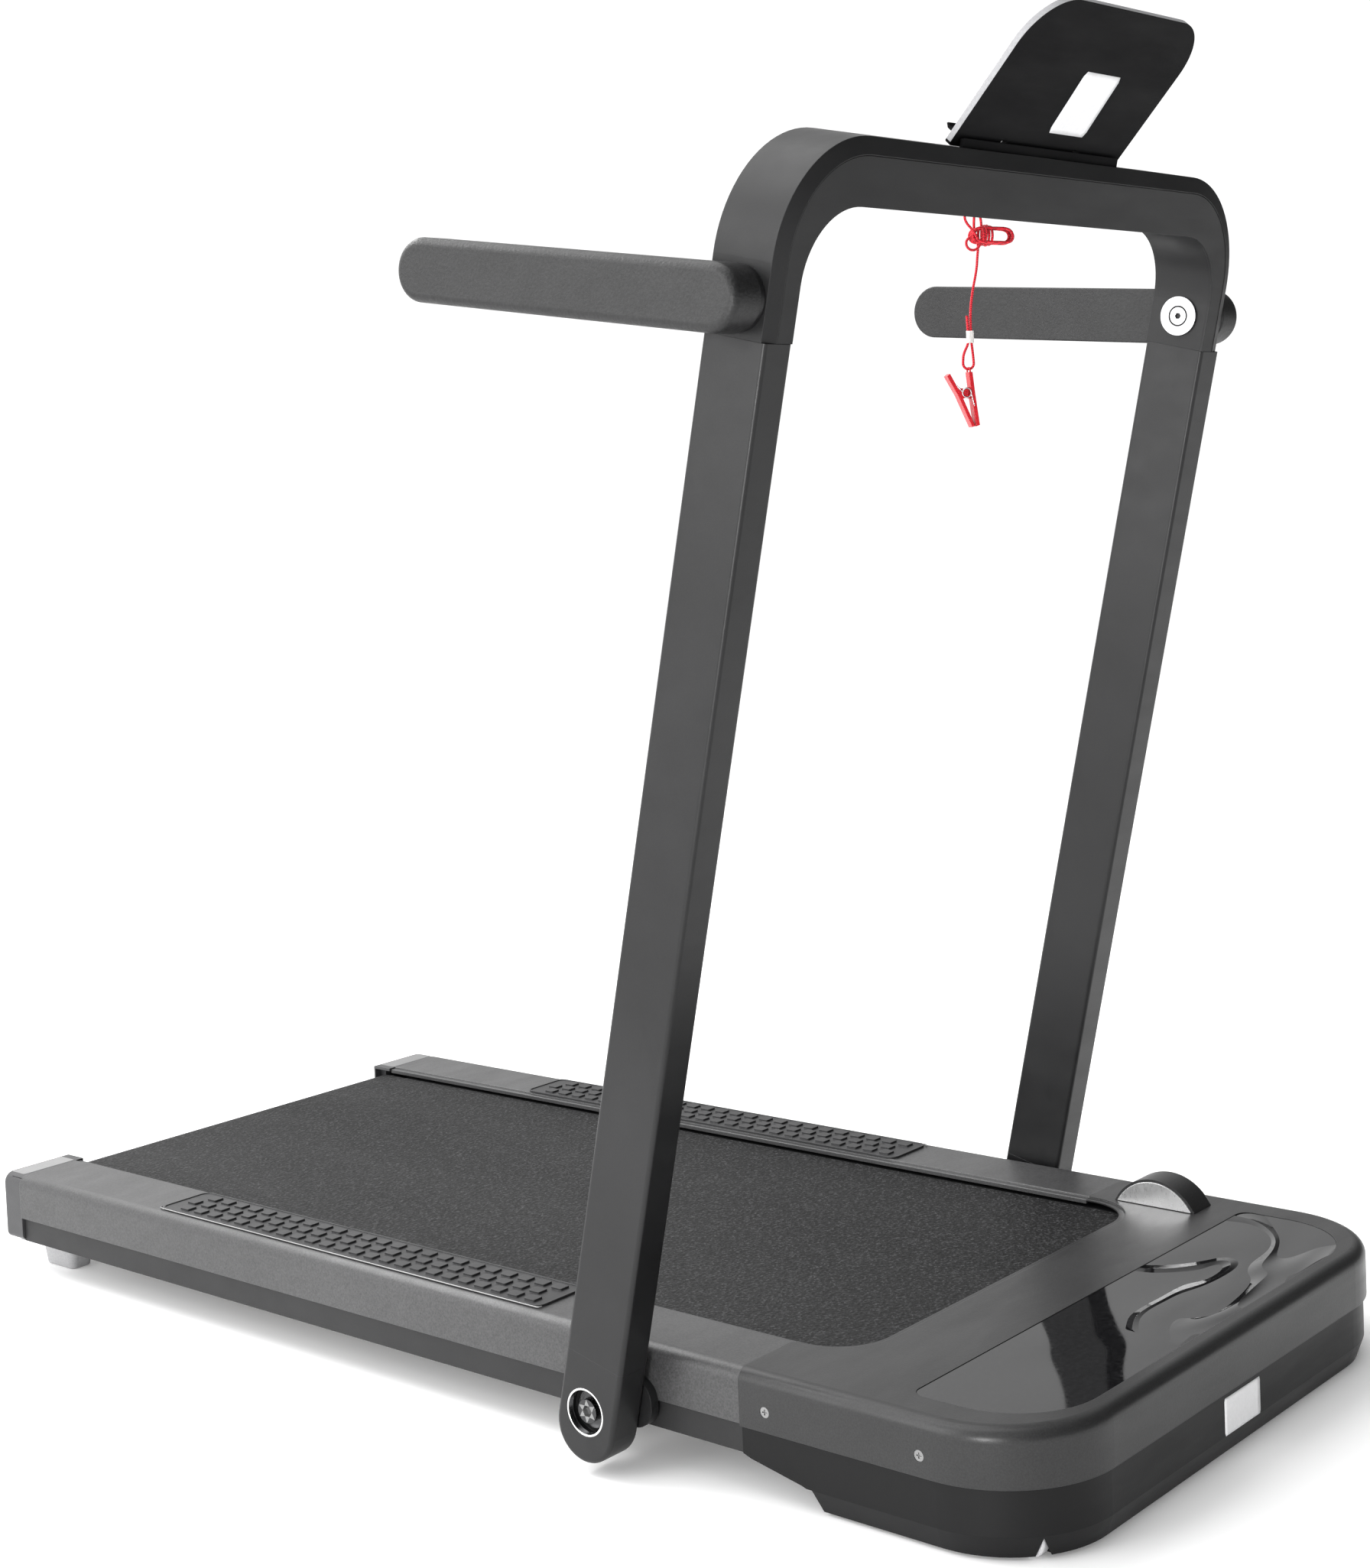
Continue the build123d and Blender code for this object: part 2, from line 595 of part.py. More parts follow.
for word, axle in (("front", FRONT_AXLE), ("rear", REAR_AXLE)):
    with BuildPart() as roller:
        with BuildSketch(facing_right(-ROLLER_HALF)):
            with Locations(axle):
                Circle(ROLLER_R)
                Circle(ROLLER_R - ROLLER_WALL, mode=Mode.SUBTRACT)
        extrude(amount=2 * ROLLER_HALF)
    save(f"{word}_roller", roller.part)

    with BuildPart() as bearings:
        for x in (-ROLLER_HALF, ROLLER_HALF - BEARING_W):
            with BuildSketch(facing_right(x)):
                with Locations(axle):
                    Circle(ROLLER_R - ROLLER_WALL)
                    Circle(SHAFT_R + RUN, mode=Mode.SUBTRACT)
            extrude(amount=BEARING_W)
    save(f"{word}_roller_bearings", bearings.part)

with BuildPart() as roller_shafts:
    with BuildSketch(facing_right(-TUBE_IN - 2)):
        with Locations(FRONT_AXLE, REAR_AXLE):
            Circle(SHAFT_R)
    extrude(amount=2 * TUBE_IN + 4)
save("roller_shafts", roller_shafts.part)


# ---------------------------------------------------------------- drive
BAND_X = (240.0, 256.0)
BAND_T = 2.0
HUB_R = 19.5
HUB_W = 14.0
PULLEY_W = 24.0
MOTOR_X = (-80.0, 90.0)
MOTOR_BORE = 40.0
ROTOR_X = (60.0, 260.0)
FLYWHEEL = (100.0, 22.0)  # inner face and thickness

with BuildPart() as drive_pulley:
    with BuildSketch(facing_right(ROLLER_HALF)):
        with Locations(FRONT_AXLE):
            Circle(HUB_R)
            Circle(SHAFT_R + RUN, mode=Mode.SUBTRACT)
    extrude(amount=HUB_W)
    with BuildSketch(facing_right(ROLLER_HALF + HUB_W)):
        with Locations(FRONT_AXLE):
            Circle(PULLEY_R)
            Circle(SHAFT_R + RUN, mode=Mode.SUBTRACT)
            with PolarLocations(HUB_R, 6):
                Circle(5.5, mode=Mode.SUBTRACT)
    extrude(amount=PULLEY_W)
save("drive_pulley", drive_pulley.part)

with BuildPart() as drive_belt:
    outer = GAP + BAND_T
    with BuildSketch(facing_right(BAND_X[0])):
        add(loop(PULLEY_R + outer, FRONT_AXLE, MOTOR_PULLEY_R + outer, MOTOR_AXLE))
        add(
            loop(PULLEY_R + GAP, FRONT_AXLE, MOTOR_PULLEY_R + GAP, MOTOR_AXLE),
            mode=Mode.SUBTRACT,
        )
    extrude(amount=BAND_X[1] - BAND_X[0])
save("drive_belt", drive_belt.part)

with BuildPart() as motor:
    with BuildSketch(facing_right(MOTOR_X[0])):
        with Locations(MOTOR_AXLE):
            Circle(MOTOR_R)
    extrude(amount=MOTOR_X[1] - MOTOR_X[0])
    fillet(motor.edges().filter_by(GeomType.CIRCLE), 3)
    with BuildSketch(facing_right(MOTOR_X[1])):
        with Locations(MOTOR_AXLE):
            Circle(SHAFT_R + RUN)
    extrude(amount=-MOTOR_BORE, mode=Mode.SUBTRACT)
save("motor", motor.part)

with BuildPart() as motor_rotor:
    with BuildSketch(facing_right(ROTOR_X[0])):
        with Locations(MOTOR_AXLE):
            Circle(SHAFT_R)
    extrude(amount=ROTOR_X[1] - ROTOR_X[0])
    with BuildSketch(facing_right(BAND_X[0] - 2)):
        with Locations(MOTOR_AXLE):
            Circle(MOTOR_PULLEY_R)
    extrude(amount=20)
save("motor_rotor", motor_rotor.part)

with BuildPart() as flywheel:
    with BuildSketch(facing_right(FLYWHEEL[0])):
        with Locations(MOTOR_AXLE):
            Circle(MOTOR_R - 2)
            Circle(SHAFT_R, mode=Mode.SUBTRACT)
            with PolarLocations(20, 8):
                Circle(4.5, mode=Mode.SUBTRACT)
    extrude(amount=FLYWHEEL[1])
save("flywheel", flywheel.part)

with BuildPart() as motor_bracket:
    with BuildSketch(facing_right(-60)):
        with Locations((MOTOR_Y, 22)):
            Rectangle(56, 16)
        with Locations((MOTOR_Y + 36, 16)):
            Rectangle(72, 4)
        with Locations((FRONT_CROSS_Y, 30)):
            Rectangle(12, 32)
        with Locations(MOTOR_AXLE):
            Circle(MOTOR_R, mode=Mode.SUBTRACT)
    extrude(amount=130)
save("motor_bracket", motor_bracket.part)

CONTROLLER_AT = (-165.0, MOTOR_Y - 5.0)
CONTROLLER = (110.0, 84.0, 26.0)  # width, depth, height
CONTROLLER_Z = 24.0
FIN = (2.5, 80.0, 20.0)  # thickness, depth, height

with BuildPart() as controller:
    with BuildSketch(Plane.XY.offset(CONTROLLER_Z)):
        with Locations(CONTROLLER_AT):
            Rectangle(CONTROLLER[0], CONTROLLER[1])
    extrude(amount=CONTROLLER[2])
    with BuildSketch(Plane.XY.offset(CONTROLLER_Z + CONTROLLER[2])):
        with Locations(CONTROLLER_AT):
            with GridLocations(8, 1, 13, 1):
                Rectangle(FIN[0], FIN[1])
    extrude(amount=FIN[2])
save("controller", controller.part)

with BuildPart() as inlet_panel:
    outer_x = DECK_HALF - SHELL_IN
    with BuildSketch(facing_right(outer_x)):
        with Locations((SOCKET_Y, (SOCKET_Z + SWITCH_Z) / 2 - 0.25)):
            RectangleRounded(28, 33, 2)
    extrude(amount=PANEL_PROUD)
    with BuildSketch(facing_right(outer_x)):
        with Locations((SOCKET_Y, SOCKET_Z)):
            Rectangle(*SOCKET)
        with Locations((SOCKET_Y, SWITCH_Z)):
            Rectangle(*SWITCH)
    extrude(amount=-18)
    with BuildSketch(facing_right(outer_x + PANEL_PROUD)):
        with Locations((SOCKET_Y, SOCKET_Z)):
            RectangleRounded(20, 13, 2)
    extrude(amount=-15, mode=Mode.SUBTRACT)
    with BuildSketch(facing_right(outer_x + PANEL_PROUD)):
        with Locations((SOCKET_Y, SWITCH_Z)):
            Rectangle(17, 9)
    extrude(amount=-12, mode=Mode.SUBTRACT)
    with BuildSketch(facing_right(outer_x + PANEL_PROUD - 15)):
        with Locations((SOCKET_Y - 6, SOCKET_Z - 2.5), (SOCKET_Y + 6, SOCKET_Z - 2.5)):
            Rectangle(2, 4)
        with Locations((SOCKET_Y, SOCKET_Z + 3)):
            Rectangle(2, 4)
    extrude(amount=11)
save("inlet_panel", inlet_panel.part)

ROCKER_X = DECK_HALF - SHELL_IN + PANEL_PROUD

with BuildPart() as power_rocker:
    with BuildSketch(Plane.XY.offset(SWITCH_Z - 4.1)):
        with BuildLine():
            Polyline(
                (ROCKER_X - 5, SOCKET_Y - 7.6),
                (ROCKER_X + 1.6, SOCKET_Y - 7.6),
                (ROCKER_X - 0.4, SOCKET_Y),
                (ROCKER_X, SOCKET_Y + 7.6),
                (ROCKER_X - 5, SOCKET_Y + 7.6),
                close=True,
            )
        make_face()
    extrude(amount=8.2)
    with BuildSketch(Plane.XY.offset(SWITCH_Z - 4.4)):
        with Locations((ROCKER_X - 3.5, SOCKET_Y)):
            Circle(1.2)
    extrude(amount=8.8)
save("power_rocker", power_rocker.part)


# ---------------------------------------------------------------- wheels and feet
for word, side in SIDES:
    with BuildPart() as wheel:
        with BuildSketch(facing_right(side * WHEEL_X - WHEEL_W / 2)):
            with Locations((WHEEL_Y, WHEEL_R)):
                Circle(WHEEL_R)
                Circle(AXLE_R + RUN, mode=Mode.SUBTRACT)
        extrude(amount=WHEEL_W)
        fillet(wheel.edges().filter_by(GeomType.CIRCLE).group_by(SortBy.RADIUS)[-1], 2)
    save(f"transport_wheel_{word}", wheel.part)

with BuildPart() as wheel_axles:
    for side in (-1, 1):
        with BuildSketch(facing_right(side * WHEEL_X)):
            with Locations((WHEEL_Y, WHEEL_R)):
                Circle(AXLE_R)
        extrude(amount=WHEEL_W / 2 + 6, both=True)
save("wheel_axles", wheel_axles.part)

FOOT_X = 249.0
FOOT_Y = REAR_Y - 41.0

with BuildPart() as rear_feet:
    for side in (-1, 1):
        with BuildSketch(Plane.XY):
            with Locations((side * FOOT_X, FOOT_Y)):
                RectangleRounded(24, 46, 6)
        extrude(amount=RAIL_Z - 3, taper=-8)
        with BuildSketch(Plane.XY.offset(RAIL_Z - 3)):
            with Locations((side * (FOOT_X + 9), FOOT_Y)):
                RectangleRounded(58, 58, 3)
        extrude(amount=3)
    fillet(rear_feet.faces().sort_by(Axis.Z)[:2].edges(), 2.5)
save("rear_feet", rear_feet.part)


# ---------------------------------------------------------------- handrail pivots
CUP_R = 19.5
CUP_DEPTH = 12.0
BUSH_R = 11.0
FLANGE = (15.5, 1.8)  # radius and thickness of the bolt's flange
HEAD = (9.5, 7.0)  # radius and height of the bolt's head
RING_W = 1.7
FOOT_REACH = 12.0  # centre of the posts' round ends, below the pivot
BRACKET_IN = DECK_HALF
BRACKET_OUT = POST_IN - 0.5

with BuildPart() as hinge_brackets:
    for side in (-1, 1):
        with BuildSketch(facing_right(side * BRACKET_IN)):
            with Locations((PIVOT_Y - 2, PIVOT_Z + 3)):
                RectangleRounded(80, 40, 18)
            with Locations((PIVOT_Y, PIVOT_Z)):
                Circle(BOLT_R, mode=Mode.SUBTRACT)
        extrude(amount=side * (BRACKET_OUT - BRACKET_IN))
save("hinge_brackets", hinge_brackets.part)

with BuildPart() as pivot_bolts:
    cup_floor = POST_OUT - CUP_DEPTH
    for side in (-1, 1):
        with BuildSketch(facing_right(side * (TUBE_OUT - 2))):
            with Locations((PIVOT_Y, PIVOT_Z)):
                Circle(BOLT_R)
        extrude(amount=side * (cup_floor + GAP - TUBE_OUT + 2))
        with BuildSketch(facing_right(side * (cup_floor + GAP))):
            with Locations((PIVOT_Y, PIVOT_Z)):
                Circle(FLANGE[0])
        extrude(amount=side * FLANGE[1])
        with BuildSketch(facing_right(side * (cup_floor + GAP + FLANGE[1]))):
            with Locations((PIVOT_Y, PIVOT_Z)):
                Circle(HEAD[0])
        extrude(amount=side * HEAD[1])
        with BuildSketch(facing_right(side * (cup_floor + GAP + FLANGE[1] + HEAD[1]))):
            with Locations((PIVOT_Y, PIVOT_Z)):
                RegularPolygon(5, 6)
        extrude(amount=-side * 5, mode=Mode.SUBTRACT)
save("pivot_bolts", pivot_bolts.part)

with BuildPart() as post_feet:
    for side in (-1, 1):
        with BuildSketch(facing_out(side, POST_IN)):
            with Locations((-side * POST_SET, -FOOT_REACH)):
                Circle(POST_DEPTH / 2)
            with Locations((-side * POST_SET, (POST_LOW - FOOT_REACH) / 2)):
                Rectangle(POST_DEPTH, POST_LOW + FOOT_REACH)
        extrude(amount=POST_WIDTH)
    faces = post_feet.faces().filter_by(Axis.X)
    long_edges = [
        e for e in faces.edges() if FRAME.to_local_coords(e.center()).Y < POST_LOW - 1
    ]
    fillet(long_edges, 3.5)
    for side in (-1, 1):
        with BuildSketch(facing_out(side, POST_OUT)):
            Circle(CUP_R)
        extrude(amount=-CUP_DEPTH, mode=Mode.SUBTRACT)
        with BuildSketch(facing_out(side, POST_OUT)):
            Circle(BUSH_R)
        extrude(amount=-POST_WIDTH, mode=Mode.SUBTRACT)
save("post_feet", post_feet.part)

with BuildPart() as pivot_bushes:
    for side in (-1, 1):
        with BuildSketch(facing_out(side, POST_IN)):
            Circle(BUSH_R)
            Circle(BOLT_R + RUN, mode=Mode.SUBTRACT)
        extrude(amount=POST_WIDTH - CUP_DEPTH)
save("pivot_bushes", pivot_bushes.part)

with BuildPart() as pivot_rings:
    for side in (-1, 1):
        with BuildSketch(facing_out(side, POST_OUT - 6)):
            Circle(CUP_R)
            Circle(CUP_R - RING_W, mode=Mode.SUBTRACT)
        extrude(amount=5.6)
save("pivot_rings", pivot_rings.part)


# ---------------------------------------------------------------- handrail posts and top
POST_WALL = 2.5
POST_R = 3.5

for word, side in SIDES:
    with BuildPart() as post:
        with BuildSketch(across_post(POST_LOW)):
            with Locations((side * POST_X, -POST_SET)):
                RectangleRounded(POST_WIDTH, POST_DEPTH, POST_R)
                RectangleRounded(
                    POST_WIDTH - 2 * POST_WALL,
                    POST_DEPTH - 2 * POST_WALL,
                    POST_R - 2,
                    mode=Mode.SUBTRACT,
                )
        extrude(amount=POST_TOP - POST_LOW)
    save(f"post_{word}", post.part)


def bend_outline(inset_out, inset_in, low=POST_TOP):
    """The U of the handrail's top, inset from its outer and its inner edge."""
    half_out = POST_OUT - inset_out
    half_in = POST_IN + inset_in
    top = TOP_S - inset_out
    under = UNDER_S + inset_in
    with BuildSketch() as outline:
        with Locations((0, (low + top) / 2)):
            Rectangle(2 * half_out, top - low)
        fillet(outline.vertices().group_by(Axis.Y)[-1], CORNER_OUT - inset_out)
        with Locations((0, (low + under) / 2)):
            Rectangle(2 * half_in, under - low, mode=Mode.SUBTRACT)
        inner = near(outline.vertices(), (-half_in, under), (half_in, under))
        fillet(inner, CORNER_IN + inset_in)
    return outline.sketch


BEVEL = (13.0, 4.0)  # of the front outer edge: across the front face, and in depth
TRIM_T = 2.5
TRIM_INSET = BEVEL[0] + 0.6

with BuildPart() as top_shell:
    with BuildSketch(FRAME.offset(-POST_REAR)):
        add(bend_outline(0, 0))
    extrude(amount=POST_DEPTH)
    front_face = top_shell.faces().filter_by(Plane(origin=(0, 0, 0), z_dir=AHEAD))
    front_face = front_face.sort_by(Axis(origin=(0, 0, 0), direction=AHEAD))[-1]
    outer_edges = []
    for edge in front_face.edges():
        place = FRAME.to_local_coords(edge.center())
        if abs(place.X) > POST_OUT - 25 and place.Y > POST_TOP + 1:
            outer_edges.append(edge)
        elif place.Y > TOP_S - 40:
            outer_edges.append(edge)
    chamfer(outer_edges, length=BEVEL[0], length2=BEVEL[1], reference=front_face)
    with BuildSketch(FRAME.offset(-POST_REAR + WALL)):
        add(bend_outline(4, WALL))
    extrude(amount=POST_DEPTH - WALL - BEVEL[1] - 4, mode=Mode.SUBTRACT)
    with BuildSketch(FRAME.offset(POST_FRONT - 9)):
        add(bend_outline(BEVEL[0] + 3, WALL))
    extrude(amount=9, mode=Mode.SUBTRACT)
    with BuildSketch(FRAME.offset(POST_FRONT - TRIM_T)):
        add(bend_outline(TRIM_INSET, 0))
    extrude(amount=TRIM_T, mode=Mode.SUBTRACT)
    for side in (-1, 1):
        with BuildSketch(facing_out(side, POST_IN - 1)):
            with Locations((-side * POST_SET, ARM_S)):
                Circle(8 + RUN)
        extrude(amount=POST_WIDTH + 2, mode=Mode.SUBTRACT)
save("top_shell", top_shell.part)

with BuildPart() as front_trim:
    with BuildSketch(FRAME.offset(POST_FRONT - TRIM_T)):
        add(bend_outline(TRIM_INSET + 0.5, 0))
    extrude(amount=TRIM_T - 0.3)
save("front_trim", front_trim.part)

with BuildPart() as crossbar_tube:
    with BuildSketch(facing_out(1, -235)):
        with Locations((-POST_SET, (UNDER_S + TOP_S) / 2 - 1)):
            RectangleRounded(38, 24, 3)
            RectangleRounded(34, 20, 1.5, mode=Mode.SUBTRACT)
    extrude(amount=470)
save("crossbar_tube", crossbar_tube.part)


# ---------------------------------------------------------------- folding arms
ARM_PIN_R = 8.0
DISC_R = 17.8
DISC_T = 2.0
BOSS_R = 24.5


def arm_plane(side, x):
    """Plane at an arm's pivot, facing out: local x runs along the arm."""
    rise = radians(ARM_RISE["left" if side < 0 else "right"])
    pivot = on_frame(side * x, ARM_S, POST_SET)
    return Plane(origin=pivot, x_dir=(0, cos(rise), sin(rise)), z_dir=(side, 0, 0))


for word, side in SIDES:
    with BuildPart() as arm:
        with BuildSketch(arm_plane(side, ARM_IN)):
            with Locations((ARM_REACH / 2, 0)):
                SlotCenterToCenter(ARM_REACH, ARM_H)
        extrude(amount=ARM_OUT - ARM_IN)
        faces = arm.faces().filter_by(Axis.X).sort_by(Axis.X)
        outer_face = faces[-1] if side > 0 else faces[0]
        inner_face = faces[0] if side > 0 else faces[-1]
        fillet(outer_face.edges(), 7)
        fillet(inner_face.edges(), 1.5)
    save(f"arm_{word}", arm.part)

    with BuildPart() as hub:
        with BuildSketch(arm_plane(side, POST_IN - GAP - DISC_T)):
            Circle(DISC_R)
        extrude(amount=DISC_T)
        with BuildSketch(arm_plane(side, POST_IN - GAP - DISC_T)):
            Circle(ARM_PIN_R + 1.5)
            Circle(ARM_PIN_R, mode=Mode.SUBTRACT)
        extrude(amount=0.7, mode=Mode.SUBTRACT)
        with BuildSketch(arm_plane(side, POST_IN - GAP - DISC_T)):
            RegularPolygon(3, 6)
        extrude(amount=1.6, mode=Mode.SUBTRACT)
        with BuildSketch(arm_plane(side, POST_IN - GAP)):
            Circle(ARM_PIN_R)
        extrude(amount=POST_WIDTH + 2 * GAP)
        with BuildSketch(arm_plane(side, POST_OUT + GAP)):
            Circle(BOSS_R)
        extrude(amount=ARM_IN - POST_OUT - GAP)
    save(f"arm_pivot_{word}", hub.part)


# ---------------------------------------------------------------- phone holder
HINGE = on_frame(0, TOP_S + HINGE_UP, HINGE_OFF)
PANEL_AHEAD = Vector(0, -cos(HOLDER_TILT), -sin(HOLDER_TILT))
PANEL = Plane(origin=HINGE, x_dir=(1, 0, 0), z_dir=PANEL_AHEAD)
PANEL_T = 5.0
PANEL_FOOT = 3.4
EAR_X = 54.0
KNUCKLE_R = 3.2
PIN_R = 1.5
EAR_W = 8.0
APRON_HALF = 116.0
SHELF_HALF = 116.0
PANEL_R = 46.0  # upper corners of the panel

with BuildPart() as phone_panel:
    with BuildSketch(PANEL.offset(-PANEL_T / 2)) as outline:
        with Locations((0, (HOLDER_H - PANEL_FOOT) / 2)):
            Rectangle(2 * HOLDER_HALF, HOLDER_H + PANEL_FOOT)
        fillet(outline.vertices().group_by(Axis.Y)[-1], PANEL_R)
        fillet(outline.vertices().group_by(Axis.Y)[0], 3)
        with Locations((-EAR_X, 0), (EAR_X, 0)):
            Rectangle(EAR_W + 1.2, 14, mode=Mode.SUBTRACT)
    extrude(amount=PANEL_T)
    with BuildSketch(Plane(origin=HINGE, x_dir=(0, 1, 0), z_dir=(1, 0, 0))):
        Circle(KNUCKLE_R)
    extrude(amount=EAR_X - EAR_W / 2 - 0.6, both=True)
    with BuildSketch(Plane(origin=HINGE, x_dir=(0, 1, 0), z_dir=(1, 0, 0))):
        Circle(PIN_R + RUN)
    extrude(amount=EAR_X + EAR_W, both=True, mode=Mode.SUBTRACT)
save("phone_panel", phone_panel.part)

with BuildPart() as phone_shelf:
    with BuildSketch(Plane(origin=HINGE, x_dir=-PANEL_AHEAD, z_dir=(1, 0, 0))):
        with BuildLine():
            Polyline(
                (PANEL_T / 2, KNUCKLE_R + 0.4),
                (PANEL_T / 2 + 9, KNUCKLE_R + 0.4),
                (PANEL_T / 2 + 12, 6),
                (PANEL_T / 2 + 11, 7.2),
                (PANEL_T / 2 + 8, 6),
                (PANEL_T / 2, 6.2),
                close=True,
            )
        make_face()
    extrude(amount=SHELF_HALF, both=True)
save("phone_shelf", phone_shelf.part)

with BuildPart() as holder_hinge:
    for x in (-EAR_X, EAR_X):
        with BuildSketch(facing_out(1, x - EAR_W / 2)):
            with Locations((-HINGE_OFF, TOP_S + HINGE_UP)):
                Circle(KNUCKLE_R)
            with Locations((-HINGE_OFF, TOP_S + HINGE_UP / 2)):
                Rectangle(2 * KNUCKLE_R, HINGE_UP)
        extrude(amount=EAR_W)
    with BuildSketch(Plane(origin=HINGE, x_dir=(0, 1, 0), z_dir=(1, 0, 0))):
        Circle(PIN_R)
    extrude(amount=EAR_X, both=True)
    with BuildSketch(facing_out(1, -APRON_HALF)):
        with BuildLine():
            Polyline(
                (-HINGE_OFF - 5.5, TOP_S),
                (-HINGE_OFF - 5.5, TOP_S + 6.4),
                (-HINGE_OFF - 8.5, TOP_S + 7.4),
                (-HINGE_OFF - 8.5, TOP_S),
                close=True,
            )
        make_face()
    extrude(amount=2 * APRON_HALF)
save("holder_hinge", holder_hinge.part)


# ---------------------------------------------------------------- safety key and lanyard
KEY_AHEAD = -POST_REAR - 1.8  # key's face towards the crossbar
KEY_R = 14.0
KEY_T = 9.0
SOCKET_R = 18.0

with BuildPart() as key_socket:
    with BuildSketch(FRAME.offset(-POST_REAR)):
        with Locations((0, KEY_S)):
            Circle(SOCKET_R)
    extrude(amount=-1.5)
save("key_socket", key_socket.part)

LUG_S = KEY_S - 17.0
LUG_AHEAD = KEY_AHEAD - 5.0

with BuildPart() as safety_key:
    with BuildSketch(FRAME.offset(KEY_AHEAD)):
        with Locations((0, KEY_S)):
            Circle(KEY_R)
    extrude(amount=-KEY_T)
    fillet(safety_key.faces().sort_by(Axis(origin=(0, 0, 0), direction=AHEAD))[0].edges(), 2)
    with BuildSketch(FRAME.offset(KEY_AHEAD - 2)):
        with Locations((0, (LUG_S + KEY_S) / 2 - 4)):
            Rectangle(7, KEY_S - LUG_S - 8)
    extrude(amount=-6)
save("safety_key", safety_key.part)

# The lanyard hangs in one upright plane, turned about Z from the crossbar.
LANYARD_TURN = radians(-35)
CORD_TOP = on_frame(0, LUG_S, LUG_AHEAD)
HANK_Z = (967.0, 985.0)
HANK_U = (-3.0, 33.0)
HANK_T = 12.0
CORD_DROP = CORD_TOP - UP * 9.0
HANK_PLANE = Plane(
    origin=(0, CORD_DROP.Y, 0),
    x_dir=(cos(LANYARD_TURN), sin(LANYARD_TURN), 0),
    z_dir=(sin(LANYARD_TURN), -cos(LANYARD_TURN), 0),
)


def in_lanyard(u, z, out=0.0):
    """A point of the lanyard's plane, from its place along the hank and its height."""
    return HANK_PLANE.from_local_coords(Vector(u, z, out))


def corner_radii(points):
    """The largest arcs that the runs of a route allow, one for each corner."""
    radii = []
    for before, corner, after in zip(points, points[1:], points[2:]):
        run = min((corner - before).length, (after - corner).length)
        turn = radians((corner - before).get_angle(after - corner))
        radii.append(0.45 * run / tan(turn / 2))
    return radii


def cord_tube(points):
    """A round cord along straight runs joined by tangent arcs."""
    radii = corner_radii(points)
    with BuildLine() as path:
        FilletPolyline(*points, radius=radii)
    with BuildPart() as tube:
        with BuildSketch(Plane(origin=points[0], z_dir=points[1] - points[0])):
            Circle(CORD_R)
        sweep(path=path.wires()[0])
    length = path.wires()[0].length
    section = pi * CORD_R**2
    print("cord", round(length, 1), "mm, radii", [round(r, 1) for r in radii])
    print("volume", round(tube.part.volume, 1), "section x length", round(section * length, 1))
    return tube.part


upper_route = [CORD_TOP, CORD_DROP, Vector(0, CORD_DROP.Y, HANK_Z[1])]
strand_route = [(2.5, 967), (0.5, 948), (-4.0, 931), (-7.2, 914), (-7.5, 898)]
loop_route = [
    (-8.5, 888),
    (-11.6, 880),
    (-12.6, 871.5),
    (-9.5, 867),
    (-6.0, 871),
    (-5.6, 880),
    (-6.7, 888),
]
strand_route = [in_lanyard(u, z) for u, z in strand_route]
loop_route = [in_lanyard(u, z) for u, z in loop_route]

with BuildPart() as lanyard_cord:
    add(cord_tube(upper_route))
    add(cord_tube(strand_route))
    add(cord_tube(loop_route))
save("lanyard_cord", lanyard_cord.part)

with BuildPart() as lanyard_hank:
    with BuildSketch(HANK_PLANE.offset(-HANK_T / 2)):
        with Locations((sum(HANK_U) / 2, sum(HANK_Z) / 2)):
            Rectangle(HANK_U[1] - HANK_U[0], HANK_Z[1] - HANK_Z[0])
    extrude(amount=HANK_T)
    fillet(lanyard_hank.edges(), 3)
save("lanyard_hank", lanyard_hank.part)

CRIMP_U = -7.5
CRIMP_Z = (888.0, 898.0)

with BuildPart() as lanyard_crimp:
    with BuildSketch(Plane(origin=in_lanyard(CRIMP_U, CRIMP_Z[0]))):
        SlotOverall(6.4, 4.6, rotation=-35)
    extrude(amount=CRIMP_Z[1] - CRIMP_Z[0])
save("lanyard_crimp", lanyard_crimp.part)

CLIP_W = 8.0
CLIP_PIN = (-14.0, 847.0)

with BuildPart() as clip_jaw_fixed:
    with BuildSketch(HANK_PLANE.offset(-CLIP_W / 2)):
        with BuildLine():
            Polyline(
                (-11.2, 864),
                (-8.0, 864),
                (-6.2, 846),
                (-3.0, 820),
                (-6.2, 819),
                (-9.4, 846),
                close=True,
            )
        make_face()
    extrude(amount=CLIP_W)
    with BuildSketch(HANK_PLANE.offset(-CLIP_W / 2)):
        with BuildLine():
            Polyline((-9.0, 842), (-15.5, 844), (-16.0, 850), (-9.5, 852), close=True)
        make_face()
    extrude(amount=CLIP_W / 2 - 0.2)
    with BuildSketch(HANK_PLANE.offset(-CLIP_W / 2)):
        with Locations(CLIP_PIN):
            Circle(1)
    extrude(amount=CLIP_W)
save("clip_jaw_fixed", clip_jaw_fixed.part)

with BuildPart() as clip_jaw_moving:
    with BuildSketch(HANK_PLANE.offset(-CLIP_W / 2)):
        with BuildLine():
            Polyline(
                (-30.4, 861),
                (-27.8, 863),
                (-18.6, 846),
                (-7.2, 819.5),
                (-9.8, 818.5),
                (-21.4, 845),
                close=True,
            )
        make_face()
    extrude(amount=CLIP_W)
    with BuildSketch(HANK_PLANE.offset(0.2)):
        with BuildLine():
            Polyline((-19.5, 841), (-12.5, 844), (-12.0, 850), (-20.5, 851), close=True)
        make_face()
    extrude(amount=CLIP_W / 2 - 0.2)
    with BuildSketch(HANK_PLANE):
        with Locations(CLIP_PIN):
            Circle(1 + RUN)
    extrude(amount=CLIP_W, mode=Mode.SUBTRACT)
save("clip_jaw_moving", clip_jaw_moving.part)

